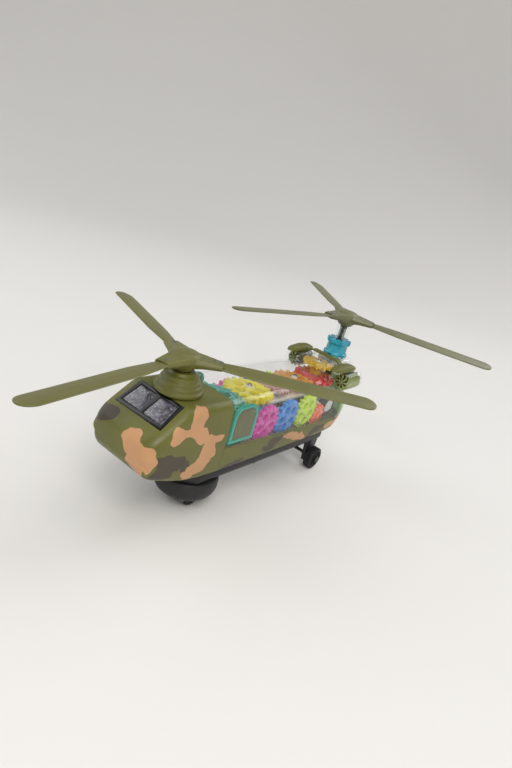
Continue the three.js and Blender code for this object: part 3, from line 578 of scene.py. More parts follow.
def onPoints(tree, source, piece, turn):
    scatter = tree.nodes.new("GeometryNodeInstanceOnPoints")
    tree.links.new(source.outputs["Geometry"], scatter.inputs["Points"])
    tree.links.new(piece, scatter.inputs["Instance"])
    tree.links.new(turn, scatter.inputs["Rotation"])
    return scatter.outputs[0]


def sizeNode(tree, x, y, z):
    size = tree.nodes.new("ShaderNodeCombineXYZ")
    for socket, value in zip(size.inputs, (x, y, z)):
        tree.links.new(value, socket)
    return size.outputs[0]


def cubeNode(tree, size, lift=None, turn=0.0):
    cube = tree.nodes.new("GeometryNodeMeshCube")
    tree.links.new(size, cube.inputs["Size"])
    move = tree.nodes.new("GeometryNodeTransform")
    move.inputs["Rotation"].default_value = (0, 0, turn)
    tree.links.new(cube.outputs["Mesh"], move.inputs["Geometry"])
    if lift is not None:
        tree.links.new(lift, move.inputs["Translation"])
    return move.outputs[0]


def screwHeadTree():
    tree, source, result = geometryTree("screwHeads", [
        ("Radius", "NodeSocketFloat", 0.0016), ("Height", "NodeSocketFloat", 0.0008),
    ])
    radius, height = source.outputs["Radius"], source.outputs["Height"]
    head = tree.nodes.new("GeometryNodeMeshCone")
    head.inputs["Vertices"].default_value = 24
    tree.links.new(mathNode(tree, "MULTIPLY", radius, 0.8), head.inputs["Radius Top"])
    tree.links.new(radius, head.inputs["Radius Bottom"])
    tree.links.new(height, head.inputs["Depth"])
    zero = mathNode(tree, "MULTIPLY", radius, 0.0)
    lift = sizeNode(tree, zero, zero, height)
    size = sizeNode(
        tree, mathNode(tree, "MULTIPLY", radius, 1.15), mathNode(tree, "MULTIPLY", radius, 0.26), height,
    )
    cross = tree.nodes.new("GeometryNodeMeshBoolean")
    cross.operation = "DIFFERENCE"
    tree.links.new(head.outputs["Mesh"], cross.inputs["Mesh 1"])
    for turn in (0.0, math.pi / 2):
        tree.links.new(cubeNode(tree, size, lift, turn), cross.inputs["Mesh 2"])
    return closeTree(tree, source, result, onPoints(tree, source, cross.outputs[0], attributeTurn(tree)))


def lugTree():
    # small blocks with a tapered top: tyre lugs, ribs, slats, keys
    tree, source, result = geometryTree("taperedLugs", [
        ("Length", "NodeSocketFloat", 0.002), ("Width", "NodeSocketFloat", 0.001),
        ("Height", "NodeSocketFloat", 0.001), ("Taper", "NodeSocketFloat", 0.75),
    ])
    foot = tree.nodes.new("GeometryNodeMeshCone")
    foot.inputs["Vertices"].default_value = 4
    foot.inputs["Radius Bottom"].default_value = 0.7071
    foot.inputs["Depth"].default_value = 1.0
    tree.links.new(mathNode(tree, "MULTIPLY", source.outputs["Taper"], 0.7071), foot.inputs["Radius Top"])
    square = tree.nodes.new("GeometryNodeTransform")
    square.inputs["Rotation"].default_value = (0, 0, math.pi / 4)
    tree.links.new(foot.outputs["Mesh"], square.inputs["Geometry"])
    fit = tree.nodes.new("GeometryNodeTransform")
    tree.links.new(square.outputs[0], fit.inputs["Geometry"])
    outputs = source.outputs
    tree.links.new(sizeNode(tree, outputs["Length"], outputs["Width"], outputs["Height"]), fit.inputs["Scale"])
    return closeTree(tree, source, result, onPoints(tree, source, fit.outputs[0], attributeTurn(tree)))


def gearTrimTree():
    # raised rim, hub ring and spokes on a gear's face
    tree, source, result = geometryTree("gearTrim", [
        ("Rim Radius", "NodeSocketFloat", 0.01), ("Hub Radius", "NodeSocketFloat", 0.004),
        ("Bead", "NodeSocketFloat", 0.0005), ("Spokes", "NodeSocketInt", 5),
    ])
    rim, hub, bead = (source.outputs[key] for key in ("Rim Radius", "Hub Radius", "Bead"))
    join = tree.nodes.new("GeometryNodeJoinGeometry")
    for radius in (rim, hub):
        circle = tree.nodes.new("GeometryNodeCurvePrimitiveCircle")
        circle.inputs["Resolution"].default_value = 56
        tree.links.new(radius, circle.inputs["Radius"])
        section = tree.nodes.new("GeometryNodeCurvePrimitiveCircle")
        section.inputs["Resolution"].default_value = 8
        tree.links.new(bead, section.inputs["Radius"])
        sweep = tree.nodes.new("GeometryNodeCurveToMesh")
        tree.links.new(circle.outputs[0], sweep.inputs["Curve"])
        tree.links.new(section.outputs[0], sweep.inputs["Profile Curve"])
        tree.links.new(sweep.outputs[0], join.inputs[0])
    points = tree.nodes.new("GeometryNodeMeshCircle")
    tree.links.new(source.outputs["Spokes"], points.inputs["Vertices"])
    middle = mathNode(tree, "MULTIPLY", mathNode(tree, "ADD", rim, hub), 0.5)
    tree.links.new(middle, points.inputs["Radius"])
    position = tree.nodes.new("GeometryNodeInputPosition")
    align = tree.nodes.new("FunctionNodeAlignRotationToVector")
    align.axis = "X"
    tree.links.new(position.outputs[0], align.inputs["Vector"])
    thick = mathNode(tree, "MULTIPLY", bead, 1.8)
    spoke = cubeNode(tree, sizeNode(tree, mathNode(tree, "SUBTRACT", rim, hub), thick, thick))
    scatter = tree.nodes.new("GeometryNodeInstanceOnPoints")
    tree.links.new(points.outputs[0], scatter.inputs["Points"])
    tree.links.new(spoke, scatter.inputs["Instance"])
    tree.links.new(align.outputs[0], scatter.inputs["Rotation"])
    tree.links.new(scatter.outputs[0], join.inputs[0])
    return closeTree(tree, source, result, join.outputs[0])


screwTree = screwHeadTree()
blockTree = lugTree()
trimTree = gearTrimTree()


def runTree(name, tree, inputs, places, matrix):
    # runs a tree over points given as (place, facing, along) in millimetres, and keeps the plain mesh
    mesh = bpy.data.meshes.new(name)
    mesh.from_pydata([Vector(p[0]) * mm for p in places] or [(0, 0, 0)], [], [])
    for index, label in ((1, "facing"), (2, "along")):
        layer = mesh.attributes.new(label, "FLOAT_VECTOR", "POINT")
        for i, entry in enumerate(places):
            layer.data[i].vector = entry[index]
    obj = objectFrom(name, mesh)
    modifier = obj.modifiers.new(name, "NODES")
    modifier.node_group = tree
    for item in tree.interface.items_tree:
        if item.item_type == "SOCKET" and item.in_out == "INPUT" and item.name in inputs:
            modifier[item.identifier] = inputs[item.name]
    bake(obj)
    if matrix is not None:
        obj.data.transform(matrix)
    return obj


def detail(name, tree, inputs, body, slot, places=(), matrix=None):
    obj = runTree(name, tree, inputs, places, matrix)
    smoothBy(obj, 30)
    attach(obj, body)


def addScrews(name, radius, height, body, places):
    sizes = {"Radius": radius * mm, "Height": height * mm, "Finish": screwSteel}
    detail(name, screwTree, sizes, body, "steel", places)


def addBlocks(name, length, width, height, taper, finish, body, slot, places):
    sizes = {"Length": length * mm, "Width": width * mm, "Height": height * mm, "Taper": taper, "Finish": finish}
    detail(name, blockTree, sizes, body, slot, places)


def addTrim(name, node, rim, hub, bead, matrix):
    finish = finishes[slotOf[node]]
    sizes = {"Rim Radius": rim * mm, "Hub Radius": hub * mm, "Bead": bead * mm, "Spokes": 5, "Finish": finish}
    detail(name, trimTree, sizes, bodyOf[node], slotOf[node], matrix=matrix)


print("node trees made")


# each row is a station: y, low, high, base, waist, top, low corner, top corner, all in millimetres
nose = {
    "rows": [
        (-117, 55, 72, 23, 25, 23.5, 6, 7), (-112, 49, 76.5, 26.3, 27.7, 26.8, 6, 7),
        (-106, 46.5, 80, 27, 28, 27.6, 6, 6), (-89, 41, 91.5, 27, 28, 27.6, 6, 6),
        (-80, 38.7, 92, 27, 28, 27.6, 6, 7), (-66, 36.6, 92, 27, 28, 27.6, 6, 7),
        (-49, 36, 91.5, 27, 28, 27.6, 6, 7),
    ],
    "wall": 2.4, "frontRound": 3.2, "mast": -76, "shaftHole": 4,
}
fuselage = {
    "rows": [
        (-48.7, 36, 91.5, 27, 28, 27.8, 6, 7), (66, 36, 90, 27, 28, 26.6, 6, 7),
        (84, 36, 89.5, 27, 28, 23.5, 6, 7), (106, 37.5, 88, 26, 28, 18.5, 6, 7),
        (118, 41.5, 85, 22, 25, 14, 6, 7), (128, 49, 74, 13, 16, 11, 4, 4),
    ],
    "wall": 1.8, "endRound": 2.6, "gap": 0.3, "front": -49, "tailSplit": 108, "rear": 129,
    "bandLine": ((-49, 57), (128, 49)),  # y, z where the olive band meets the covers, front and rear
    "trayOpening": ((-23.6, -60, 30), (23.6, 106, 42.5)),
    "pylonHole": ((-12.6, 80, 84), (12.6, 110, 95)),
    "mastHole": ((-10, 100, 74.5), (10, 122.4, 95)),
}


def stationAt(rows, y, window):
    # the stations joined by straight lines, with their corners rounded off
    def straight(at):
        at = min(max(at, rows[0][0]), rows[-1][0])
        for first, second in zip(rows, rows[1:]):
            if at <= second[0]:
                share = (at - first[0]) / (second[0] - first[0])
                return [a + (b - a) * share for a, b in zip(first[1:], second[1:])]
        return list(rows[-1][1:])
    samples = [straight(y + window * (k / 4 - 1)) for k in range(9)]
    return [sum(column) / len(samples) for column in zip(*samples)]


def sectionRing(y, values, inset):
    low, high, base, waist, top, lowRound, topRound = values
    low, high, base, waist, top = low + inset, high - inset, base - inset, waist - inset, top - inset
    lowR, topR = max(lowRound - inset, 1.0), max(topRound - inset, 1.0)
    half = [((base - lowR) * k / 4, low) for k in range(4)]
    for k in range(9):
        angle = math.radians(-90 + 90 * k / 8)
        half.append((base - lowR + lowR * math.cos(angle), low + lowR + lowR * math.sin(angle)))
    fromZ, midZ, toZ = low + lowR, low + (high - low) * 0.4, high - topR
    for k in range(1, 10):
        z = fromZ + (toZ - fromZ) * k / 10
        a = (z - midZ) * (z - toZ) / ((fromZ - midZ) * (fromZ - toZ))
        b = (z - fromZ) * (z - toZ) / ((midZ - fromZ) * (midZ - toZ))
        c = (z - fromZ) * (z - midZ) / ((toZ - fromZ) * (toZ - midZ))
        half.append((base * a + waist * b + top * c, z))
    for k in range(9):
        angle = math.radians(90 * k / 8)
        half.append((top - topR + topR * math.cos(angle), high - topR + topR * math.sin(angle)))
    half += [((top - topR) * (1 - k / 4), high) for k in range(1, 5)]
    left = [(-x, z) for x, z in reversed(half[1:-1])]
    return [(x, y, z) for x, z in half + left]


def hullLoft(name, shape, inset, ys, window, rounding=0.0, roundedEnd="first"):
    rings = []
    end = ys[0] if roundedEnd == "first" else ys[-1]
    for y in ys:
        away = abs(y - end)
        extra = 0.0
        if rounding and away < rounding:
            extra = rounding - math.sqrt(rounding ** 2 - (rounding - away) ** 2)
        rings.append(sectionRing(y, stationAt(shape["rows"], y, window), inset + extra))
    return skinnedPiece(name, rings)


def steps(low, high, step):
    count = max(1, round((high - low) / step))
    return [low + (high - low) * k / count for k in range(count + 1)]


def prism(name, outline, low, high):
    # an outline in the Y-Z plane, extruded across X
    count = len(outline)
    points = [(x, y, z) for x in (low, high) for y, z in outline]
    faces = [(k, (k + 1) % count, (k + 1) % count + count, k + count) for k in range(count)]
    faces += [tuple(range(count)), tuple(range(count, 2 * count))]
    return tidyMesh(meshObject(name, points, faces), 0.0005)


screen = {
    "low": (-106, 80, 20.8), "high": (-89, 91.5, 19.4),  # y, z and half width of its lower and upper edges
    "inset": 2.6, "split": 1.5, "depth": 1.1, "proud": 0.4, "paneGap": 0.3,
}
screenRun, screenRise = screen["high"][0] - screen["low"][0], screen["high"][1] - screen["low"][1]
screenMiddle = Vector((0, screen["low"][0] + screenRun / 2, screen["low"][1] + screenRise / 2)) * mm
screenMatrix = Matrix.Translation(screenMiddle) @ Matrix.Rotation(math.atan2(screenRise, screenRun), 4, "X")


def screenPlate(name, inset, depth, height, fromX=-99, toX=99):
    reach = math.hypot(screenRun, screenRise) / 2 - inset
    low, high = screen["low"][2] - inset, screen["high"][2] - inset
    outline = [
        (max(-low, fromX), -reach), (min(low, toX), -reach), (min(high, toX), reach), (max(-high, fromX), reach),
    ]
    points = [(x, y, z) for z in (-depth, height) for x, y in outline]
    faces = [(0, 1, 2, 3), (4, 5, 6, 7)] + [(k, (k + 1) % 4, (k + 1) % 4 + 4, k + 4) for k in range(4)]
    return place(tidyMesh(meshObject(name, points, faces)), screenMatrix)


def makeNose():
    front, wall = nose["rows"][0][0], nose["wall"]
    ys = [front + d for d in (0, 0.15, 0.5, 1.0, 1.7, 2.5)] + steps(front + 3.3, nose["rows"][-1][0], 1.9)
    shell = hullLoft("noseShell", nose, 0.0, ys, 2.4, nose["frontRound"])
    innerYs = [front + wall + d for d in (0, 0.3, 1.0, 2.0)] + steps(front + wall + 3, -47, 4)
    inner = hullLoft("noseHollow", nose, wall, innerYs, 2.4, 2.0)
    pocket = screenPlate("screenPocket", -screen["paneGap"], 1.4, 8)
    hole = turnedPiece("shaftHole", [(nose["shaftHole"], 80), (nose["shaftHole"], 100)], 40)
    carve(shell, inner, pocket, place(hole, axisMatrix((0, nose["mast"], 0), (0, 0, 1))))
    finishPiece(smoothBy(tidyMesh(shell), 30), "nose_shell")


def bandLine(y):
    (frontY, frontZ), (rearY, rearZ) = fuselage["bandLine"]
    return frontZ + (y - frontY) * (rearZ - frontZ) / (rearY - frontY)


def bandPrism(name, side, fromY, toY, clearance=0.0):
    far = 120 if side > 0 else 0
    fromZ, toZ = bandLine(fromY) + side * clearance, bandLine(toY) + side * clearance
    outline = [(fromY, fromZ), (toY, toZ), (toY, far), (fromY, far)]
    return prism(name, outline, -40, 40)


def fuselageShell(name):
    end, rear = fuselage["endRound"], fuselage["rows"][-1][0]
    ys = steps(-48.7, 60, 6) + steps(62, rear - end - 0.6, 2) + [rear - d for d in (2.4, 1.6, 0.9, 0.4, 0.1, 0)]
    outer = hullLoft(name, fuselage, 0.0, ys, 4.0, end, "last")
    innerYs = [-52] + steps(-48, 60, 6) + steps(62, rear - fuselage["wall"], 2)
    inner = hullLoft(name + "Hollow", fuselage, fuselage["wall"], innerYs, 4.0)
    return carve(outer, inner)


def shellInside(name, cutter):
    return carve(fuselageShell(name), cutter, how="INTERSECT")


door = {"front": -46.5, "rear": -21, "low": 59.5, "high": 87, "round": 9, "frame": 2.6, "gap": 0.3}


def doorPrism(name, inset, side, fromX=14, toX=40):
    radius = door["round"] - inset
    middle = door["high"] - door["round"]
    outline = [(door["rear"] - inset, door["low"] + inset), (door["front"] + inset, door["low"] + inset)]
    for centre, start in ((door["front"] + door["round"], 180), (door["rear"] - door["round"], 90)):
        for k in range(13):
            angle = math.radians(start - 90 * k / 12)
            outline.append((centre + radius * math.cos(angle), middle + radius * math.sin(angle)))
    return prism(name, outline, *sorted((side * fromX, side * toX)))


nacelle = {
    "x": 25.5, "start": 91.5, "z": 86, "radius": 8.6, "wellRadius": 9.0,
    "bore": [(2.4, 31.5), (2.4, 29.2), (5.4, 28.6), (6.8, 27.0), (7.8, 24), (7.8, 0.6)],
    "strut": [(100.4, 94.1), (102, 95.7), (110.2, 95.7), (111.6, 94.1)], "strutHalf": 1.4,
}


def nacelleOutline(radius):
    return [
        (radius * 0.93, 0.0), (radius * 0.97, 0.2), (radius * 0.99, 0.9), (radius, 2.2), (radius, 22.5),
        (radius * 0.985, 24.6), (radius * 0.93, 26.6), (radius * 0.8, 29), (radius * 0.5, 31.5),
    ]


def nacelleWell(name, side):
    centre = (side * nacelle["x"], nacelle["start"], nacelle["z"])
    return place(turnedPiece(name, nacelleOutline(nacelle["wellRadius"]), 64), axisMatrix(centre, (0, 1, 0)))


def makeFuselage():
    front, split, rear, gap = (fuselage[key] for key in ("front", "tailSplit", "rear", "gap"))
    hull = shellInside("lowerHull", bandPrism("underBand", -1, front, rear))
    carve(hull, boxPiece("trayOpening", *fuselage["trayOpening"]))
    finishPiece(smoothBy(tidyMesh(hull), 30), "lower_hull")

    cover = shellInside("clearCover", bandPrism("overBand", 1, front, split, gap))
    wells = [doorPrism(f"doorWell{side}", -door["gap"], side) for side in (-1, 1)]
    wells += [nacelleWell(f"nacelleWell{side}", side) for side in (-1, 1)]
    carve(cover, boxPiece("pylonHole", *fuselage["pylonHole"]), *wells)
    finishPiece(smoothBy(tidyMesh(cover), 30), "fuselage_cover")

    tail = shellInside("tailCap", bandPrism("tailSide", 1, split + gap, rear, gap))
    wells = [nacelleWell(f"tailWell{side}", side) for side in (-1, 1)]
    carve(tail, boxPiece("mastHole", *fuselage["mastHole"]), *wells)
    finishPiece(smoothBy(tidyMesh(tail), 30), "tail_cap")

    for side, label in ((1, "port"), (-1, "starboard")):
        ring = shellInside(camelName(f"door_frame_{label}"), doorPrism("frameOutline", 0, side))
        carve(ring, doorPrism("frameHole", door["frame"], side, 10, 50))
        finishPiece(bevelled(tidyMesh(ring), 0.35), f"door_frame_{label}")
        outline = doorPrism("panelOutline", door["frame"] + door["gap"], side)
        panel = shellInside(camelName(f"door_panel_{label}"), outline)
        finishPiece(bevelled(tidyMesh(panel), 0.3), f"door_panel_{label}")


makeNose()
makeFuselage()
print("hull, cover and doors made")


def makeWindshield():
    inset, split, depth, gap = (screen[key] for key in ("inset", "split", "depth", "paneGap"))
    plate = screenPlate("windshieldFrame", 0, depth, screen["proud"])
    carve(
        plate, screenPlate("portOpening", inset, 3, 3, split),
        screenPlate("starboardOpening", inset, 3, 3, toX=-split),
    )
    finishPiece(bevelled(plate, 0.3), "windshield_frame")
    for label, ends in (("port", {"fromX": split + gap}), ("starboard", {"toX": -split - gap})):
        pane = screenPlate(camelName(f"windshield_pane_{label}"), inset + gap, depth, 0, **ends)
        finishPiece(bevelled(pane, 0.4, 3), f"windshield_pane_{label}")


fairing = {
    "steps": [
        (16, 92.4), (16, 94.6), (14.4, 95.4), (14.4, 97.6), (13, 98.4), (13, 100.6),
        (11.6, 101.4), (11.6, 103.4), (9.4, 104.4), (8.2, 106),
    ],
    "bore": 3.6,
}


def makeFairing():
    stack, bore = fairing["steps"], fairing["bore"]
    profile = [(bore, stack[0][1]), *stack, (bore, stack[-1][1])]
    piece = turnedPiece("mastFairing", profile, 112, closed=True)
    place(piece, axisMatrix((0, nose["mast"], 0), (0, 0, 1)))
    finishPiece(bevelled(piece, 0.35, 3, 25), "front_mast_fairing")


def refined(node, width=0.25, segments=2, degrees=32):
    return finishPiece(bevelled(copyOf(node), width, segments, degrees), node)


cowl = {
    # y, half width, height over its flat underside
    "rows": [(77, 2, 1.2), (82, 4.4, 3.2), (96, 5.6, 4.4), (106, 5.2, 3.8), (112, 3, 1.6)],
    "x": 23, "z": 96,
    "strap": [(-20, 97.2), (-15.9, 97.1), (-12.5, 99.3), (12.5, 99.3), (15.9, 97.1), (20, 97.2)],  # x, z
    "strapFrom": 98, "strapTo": 103.5, "strapHalf": 0.8,
}


def cowlShape(side):
    rings = []
    start, end, x, z = cowl["rows"][0][0], cowl["rows"][-1][0], side * cowl["x"], cowl["z"]
    for y in steps(start, end, 0.9):
        half, height = stationAt(cowl["rows"], y, 2.2)
        ease = math.sqrt(min(1.0, 0.35 + min(y - start, end - y) / 2.0))
        half, height = half * ease, height * ease
        ring = [(x - half * k / 4, y, z) for k in range(-3, 4)]
        for k in range(17):
            angle = math.pi - math.pi * k / 16
            across = math.copysign(abs(math.cos(angle)) ** 0.8, math.cos(angle)) * half
            lift = 0.15 + (height - 0.15) * max(0.0, math.sin(angle)) ** 0.7
            ring.append((x + across, y, z + lift))
        rings.append(ring)
    return skinnedPiece("engineCowls", rings)


def makeCowls():
    # rounded olive cowls along the nacelles, joined by a strap over the pylon
    start, end, half = cowl["strapFrom"], cowl["strapTo"], cowl["strapHalf"]
    corners = ((start, -half), (end, -half), (end, half), (start, half))
    strap = skinnedPiece("strap", [[(x, y, z + dz) for y, dz in corners] for x, z in cowl["strap"]])
    pair = carve(cowlShape(1), strap, cowlShape(-1), how="UNION")
    finishPiece(bevelled(tidyMesh(pair), 0.25, 2, 50), "engine_cowls")


makeWindshield()
makeFairing()
makeCowls()
refined("rear_pylon_cover", 0.9, 3, 25)
for plainNode in ("gear_deck", "gear_frame", "belly_chassis", "battery_door", "circuit_board"):
    refined(plainNode, 0.3)
refined("switch_knob", 0.45, 3)
print("shell fittings made")


deckGears = {
    # y of the shaft, pitch radius
    "teal_gear": (-40, 22), "yellow_gear": (0, 18), "rosy_gear": (31, 13),
    "amber_gear": (60, 16), "red_gear": (92, 16),
}
gearTrim = {
    "deckZ": 82.05, "deckHub": 4.3, "deckBead": 0.42, "rimInset": 3.1,
    "sideX": 24.0, "sideRim": 10.9, "sideHub": 4.4, "sideBead": 0.4,
    "postZ": 84.5, "lastPostZ": 94.9,
}


def makeGears():
    for node in [node for node in slotOf if node.endswith("_gear")] + ["cyan_pinion"]:
        refined(node, 0.22, 2, 28)
    for node, (y, pitch) in deckGears.items():
        matrix = axisMatrix((0, y, gearTrim["deckZ"]), (0, 0, 1), math.radians(18))
        rim = pitch - gearTrim["rimInset"]
        addTrim(camelName(node) + "Trim", node, rim, gearTrim["deckHub"], gearTrim["deckBead"], matrix)
    for node in ("magenta_gear", "blue_gear", "lime_gear"):
        centre = middleOf(node) / mm
        for side, label in ((-1, "StarboardTrim"), (1, "PortTrim")):
            matrix = axisMatrix((side * gearTrim["sideX"], centre.y, centre.z), (side, 0, 0), math.radians(36))
            sizes = (gearTrim[key] for key in ("sideRim", "sideHub", "sideBead"))
            addTrim(camelName(node) + label, node, *sizes, matrix)
    # post screws over the deck gears; the last post stands through the gold gear
    posts = []
    for node, (y, pitch) in deckGears.items():
        z = gearTrim["lastPostZ" if node == "red_gear" else "postZ"]
        posts.append(((0, y, z), (0, 0, 1), (1, 0.3, 0)))
    addScrews("deckPostScrews", 2.2, 0.8, "airframe", posts)


makeGears()
print("gears made")


motor = {"radius": 10, "half": 13.5, "boss": 4, "bossEnd": 15.6, "shaftHole": 1.8}


def makeMotor():
    centre = middleOf("orange_gear") / mm
    r, half, boss, end, hole = (motor[key] for key in ("radius", "half", "boss", "bossEnd", "shaftHole"))
    profile = [
        (hole, -end), (boss - 0.4, -end), (boss, -end + 0.4), (boss, -half), (r - 1.2, -half), (r, -half + 0.9),
        (r, -half + 6.6), (r - 0.35, -half + 7.0), (r - 0.35, -half + 8.0), (r, -half + 8.4), (r, half - 0.9),
        (r - 1.2, half), (boss, half), (boss, end - 0.4), (boss - 0.4, end), (hole, end),
    ]
    can = turnedPiece("driveMotor", profile, 72, closed=True)
    place(can, axisMatrix((0, centre.y, centre.z), (1, 0, 0)))
    finishPiece(smoothBy(can, 40), "drive_motor")


cell = {
    "z": 37.8, "reversed": 2,
    # radius, height from the flat end
    "profile": [
        (0, 0), (5.6, 0), (6.4, 0.25), (7.0, 0.7), (7.1, 1.2), (7.1, 48.8), (7.0, 49.4), (6.5, 49.9), (6.1, 50),
        (5.8, 49.7), (3.0, 49.7), (2.7, 50.0), (2.6, 50.9), (2.3, 51.2), (0, 51.2),
    ],
}


def makeCells():
    for index in (1, 2, 3):
        node = f"battery_cell_{index}"
        low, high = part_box(node)
        flatEnd, heading = (high.y, -1) if index == cell["reversed"] else (low.y, 1)
        piece = turnedPiece(camelName(node), cell["profile"], 56)
        place(piece, axisMatrix(((low.x + high.x) / 2 / mm, flatEnd / mm, cell["z"]), (0, heading, 0)))
        finishPiece(smoothBy(piece, 40), node)


speaker = {
    "y": 95.5, "z": 60,
    # radius, distance from the middle of the hull
    "profile": [
        (0, 12.5), (4.6, 12.5), (5, 12.9), (5, 16), (7.8, 18.8), (8, 19.2), (8, 21.0), (7.7, 21.4),
        (6.9, 21.4), (6.6, 21.0), (6.4, 20.2), (0, 20.6),
    ],
    "slats": 5, "slatX": 20.3, "slatPitch": 2.2, "slatReach": 6.4,
}


def makeSpeaker():
    y, z, count = speaker["y"], speaker["z"], speaker["slats"]
    drum = turnedPiece("speaker", speaker["profile"], 64)
    finishPiece(smoothBy(place(drum, axisMatrix((0, y, z), (1, 0, 0))), 40), "speaker")
    for k in range(count):
        off = (k - (count - 1) / 2) * speaker["slatPitch"]
        reach = math.sqrt(max(speaker["slatReach"] ** 2 - off ** 2, 1)) * 1.9
        entry = ((speaker["slatX"], y + off, z), (1, 0, 0), (0, 0, 1))
        addBlocks(f"speakerSlat{k + 1}", reach, 1.0, 1.0, 0.7, panelWhite, "airframe", "ivory_plastic", [entry])


turbine = {
    "fins": 8, "root": 4.6, "tip": 7.3, "start": 93.4, "length": 22.4, "turn": math.radians(224),
    "nose": [(0, -3.2), (0.7, -3.1), (1.6, -2.6), (2.4, -1.6), (2.9, -0.4), (3.0, 1.0)],
    # light: the fins' olive on their crests; dark: near-black painted shade in the valleys between the fins
    "light": "#8a9450", "dark": "#14160f",
}
# the turbine finish paints shade into the fin valleys, twisting with the fins
finishes["turbine_olive"] = printAndShadeBands(
    "turbineStripes", turbine["light"], turbine["dark"], middleOf("turbine_port"), turbine["fins"],
    -turbine["fins"] * turbine["turn"] / (turbine["length"] * mm), turbine["start"] * mm,
)


def twistedFins(name, centre, side):
    fins, root, tip, length = (turbine[key] for key in ("fins", "root", "tip", "length"))
    rings, around, along = [], 96, 56
    for i in range(along + 1):
        share = i / along
        taper = 0.86 + 0.14 * min(1.0, share / 0.12, (1 - share) / 0.08 + 0.2)
        ring = []
        for j in range(around):
            angle = 2 * math.pi * j / around
            lobe = (0.5 + 0.5 * math.cos(fins * angle)) ** 1.7
            radius = root + (tip * taper - root) * lobe
            at = angle + side * turbine["turn"] * share
            ring.append((radius * math.cos(at), share * length, radius * math.sin(at)))
        rings.append(ring)
    spinner = place(turnedPiece(name + "Nose", turbine["nose"], 40), axisMatrix((0, 0, 0), (0, 1, 0)))
    return place(joined(skinnedPiece(name, rings), spinner), Matrix.Translation(Vector(centre) * mm))


def makeNacelles():
    half = nacelle["strutHalf"]
    for side, label in ((1, "port"), (-1, "starboard")):
        outline = nacelleOutline(nacelle["radius"]) + nacelle["bore"]
        shell = turnedPiece(camelName(f"nacelle_{label}"), outline, 80, closed=True)
        place(shell, axisMatrix((0, nacelle["start"], nacelle["z"]), (0, 1, 0)))
        carve(shell, prism("strut", nacelle["strut"], -half, half), how="UNION")
        place(shell, Matrix.Translation((side * nacelle["x"] * mm, 0, 0)))
        finishPiece(smoothBy(tidyMesh(shell), 35), f"nacelle_{label}")
        centre = (side * nacelle["x"], turbine["start"], nacelle["z"])
        fins = twistedFins(camelName(f"turbine_{label}"), centre, side)
        finishPiece(smoothBy(fins, 60), f"turbine_{label}")


makeMotor()
makeCells()
makeSpeaker()
makeNacelles()
print("power train and nacelles made")


rotor = {
    "radius": 125, "chord": 15, "thickness": 2.2, "pitch": 8, "start": 24.3, "widen": 22, "rootHalf": 5.2,
    "root": ((14, -3.4, -0.75), (25.4, 3.4, 0.75)), "pinReach": (17.5, 22), "pinLift": 2.15,
    "front": {"y": -76, "z": 114, "angle": 160}, "rear": {"y": 116, "z": 134, "angle": 17},
}
rearOlive = mouldedPlastic("rearBladeOlive", "#676945", (0.34, 0.52), 0.2, 0.0, 0.1)


def bladeRing(r, thinning):
    half, rootHalf = rotor["chord"] / 2, rotor["rootHalf"]
    width = rootHalf + (half - rootHalf) * min(1.0, max(0.0, r - rotor["start"]) / rotor["widen"])
    tipStart = rotor["radius"] - half
    if r > tipStart:
        width = math.sqrt(max(half ** 2 - (r - tipStart) ** 2, 0.02))
    thick = rotor["thickness"] / 2 * thinning * min(1.0, 0.35 + width / half)
    ring = []
    for k in range(32):
        angle = 2 * math.pi * k / 32
        across = width * math.cos(angle)
        ridge = 0.12 * math.exp(-(across / half / 0.12) ** 2) if angle < math.pi else 0
        edge = math.copysign(thick * abs(math.sin(angle)) ** 0.75, math.sin(angle))
        ring.append((r, across, edge * (0.92 + ridge)))
    return ring


def makeBlade(group, index):
    spec = rotor[group]
    reaches = [23.95, 24.2, 24.8] + steps(26, 116, 5)
    reaches += [117.5 + 7.5 * math.sin(math.radians(a)) for a in range(8, 84, 8)] + [124.97]
    rings = [bladeRing(r, 0.85 if n == 0 else 1.0) for n, r in enumerate(reaches)]
    paddle = skinnedPiece(f"{group}Blade{index}", rings)
    place(paddle, Matrix.Rotation(math.radians(rotor["pitch"]), 4, "X"))
    carve(paddle, boxPiece("root", *rotor["root"]), how="UNION")
    turn = math.radians(spec["angle"] + 120 * (index - 1))
    place(paddle, Matrix.Translation(Vector((0, spec["y"], spec["z"])) * mm) @ Matrix.Rotation(turn, 4, "Z"))
    olive = finishes["blade_olive"] if group == "front" else rearOlive
    finishPiece(smoothBy(tidyMesh(paddle), 40), f"{group}_blade_{index}", olive)


def makeHub(group):
    node, spec = f"{group}_hub", rotor[group]
    hub = copyOf(node)
    remesh = hub.modifiers.new("remesh", "REMESH")
    remesh.mode = "VOXEL"
    remesh.voxel_size = 0.42 * mm
    soften = hub.modifiers.new("soften", "SMOOTH")
    soften.factor = 0.5
    soften.iterations = 8
    bake(hub)
    finishPiece(smoothBy(hub, 60), node, finishes["blade_olive"] if group == "front" else rearOlive)
    pins = []
    for i in range(3):
        angle = math.radians(spec["angle"] + 120 * i)
        for reach in rotor["pinReach"]:
            at = (reach * math.cos(angle), spec["y"] + reach * math.sin(angle), spec["z"] + rotor["pinLift"])
            pins.append((at, (0, 0, 1), (math.cos(angle), math.sin(angle), 0)))
    addScrews(f"{group}HubPins", 1.1, 0.7, f"{group}_rotor", pins)


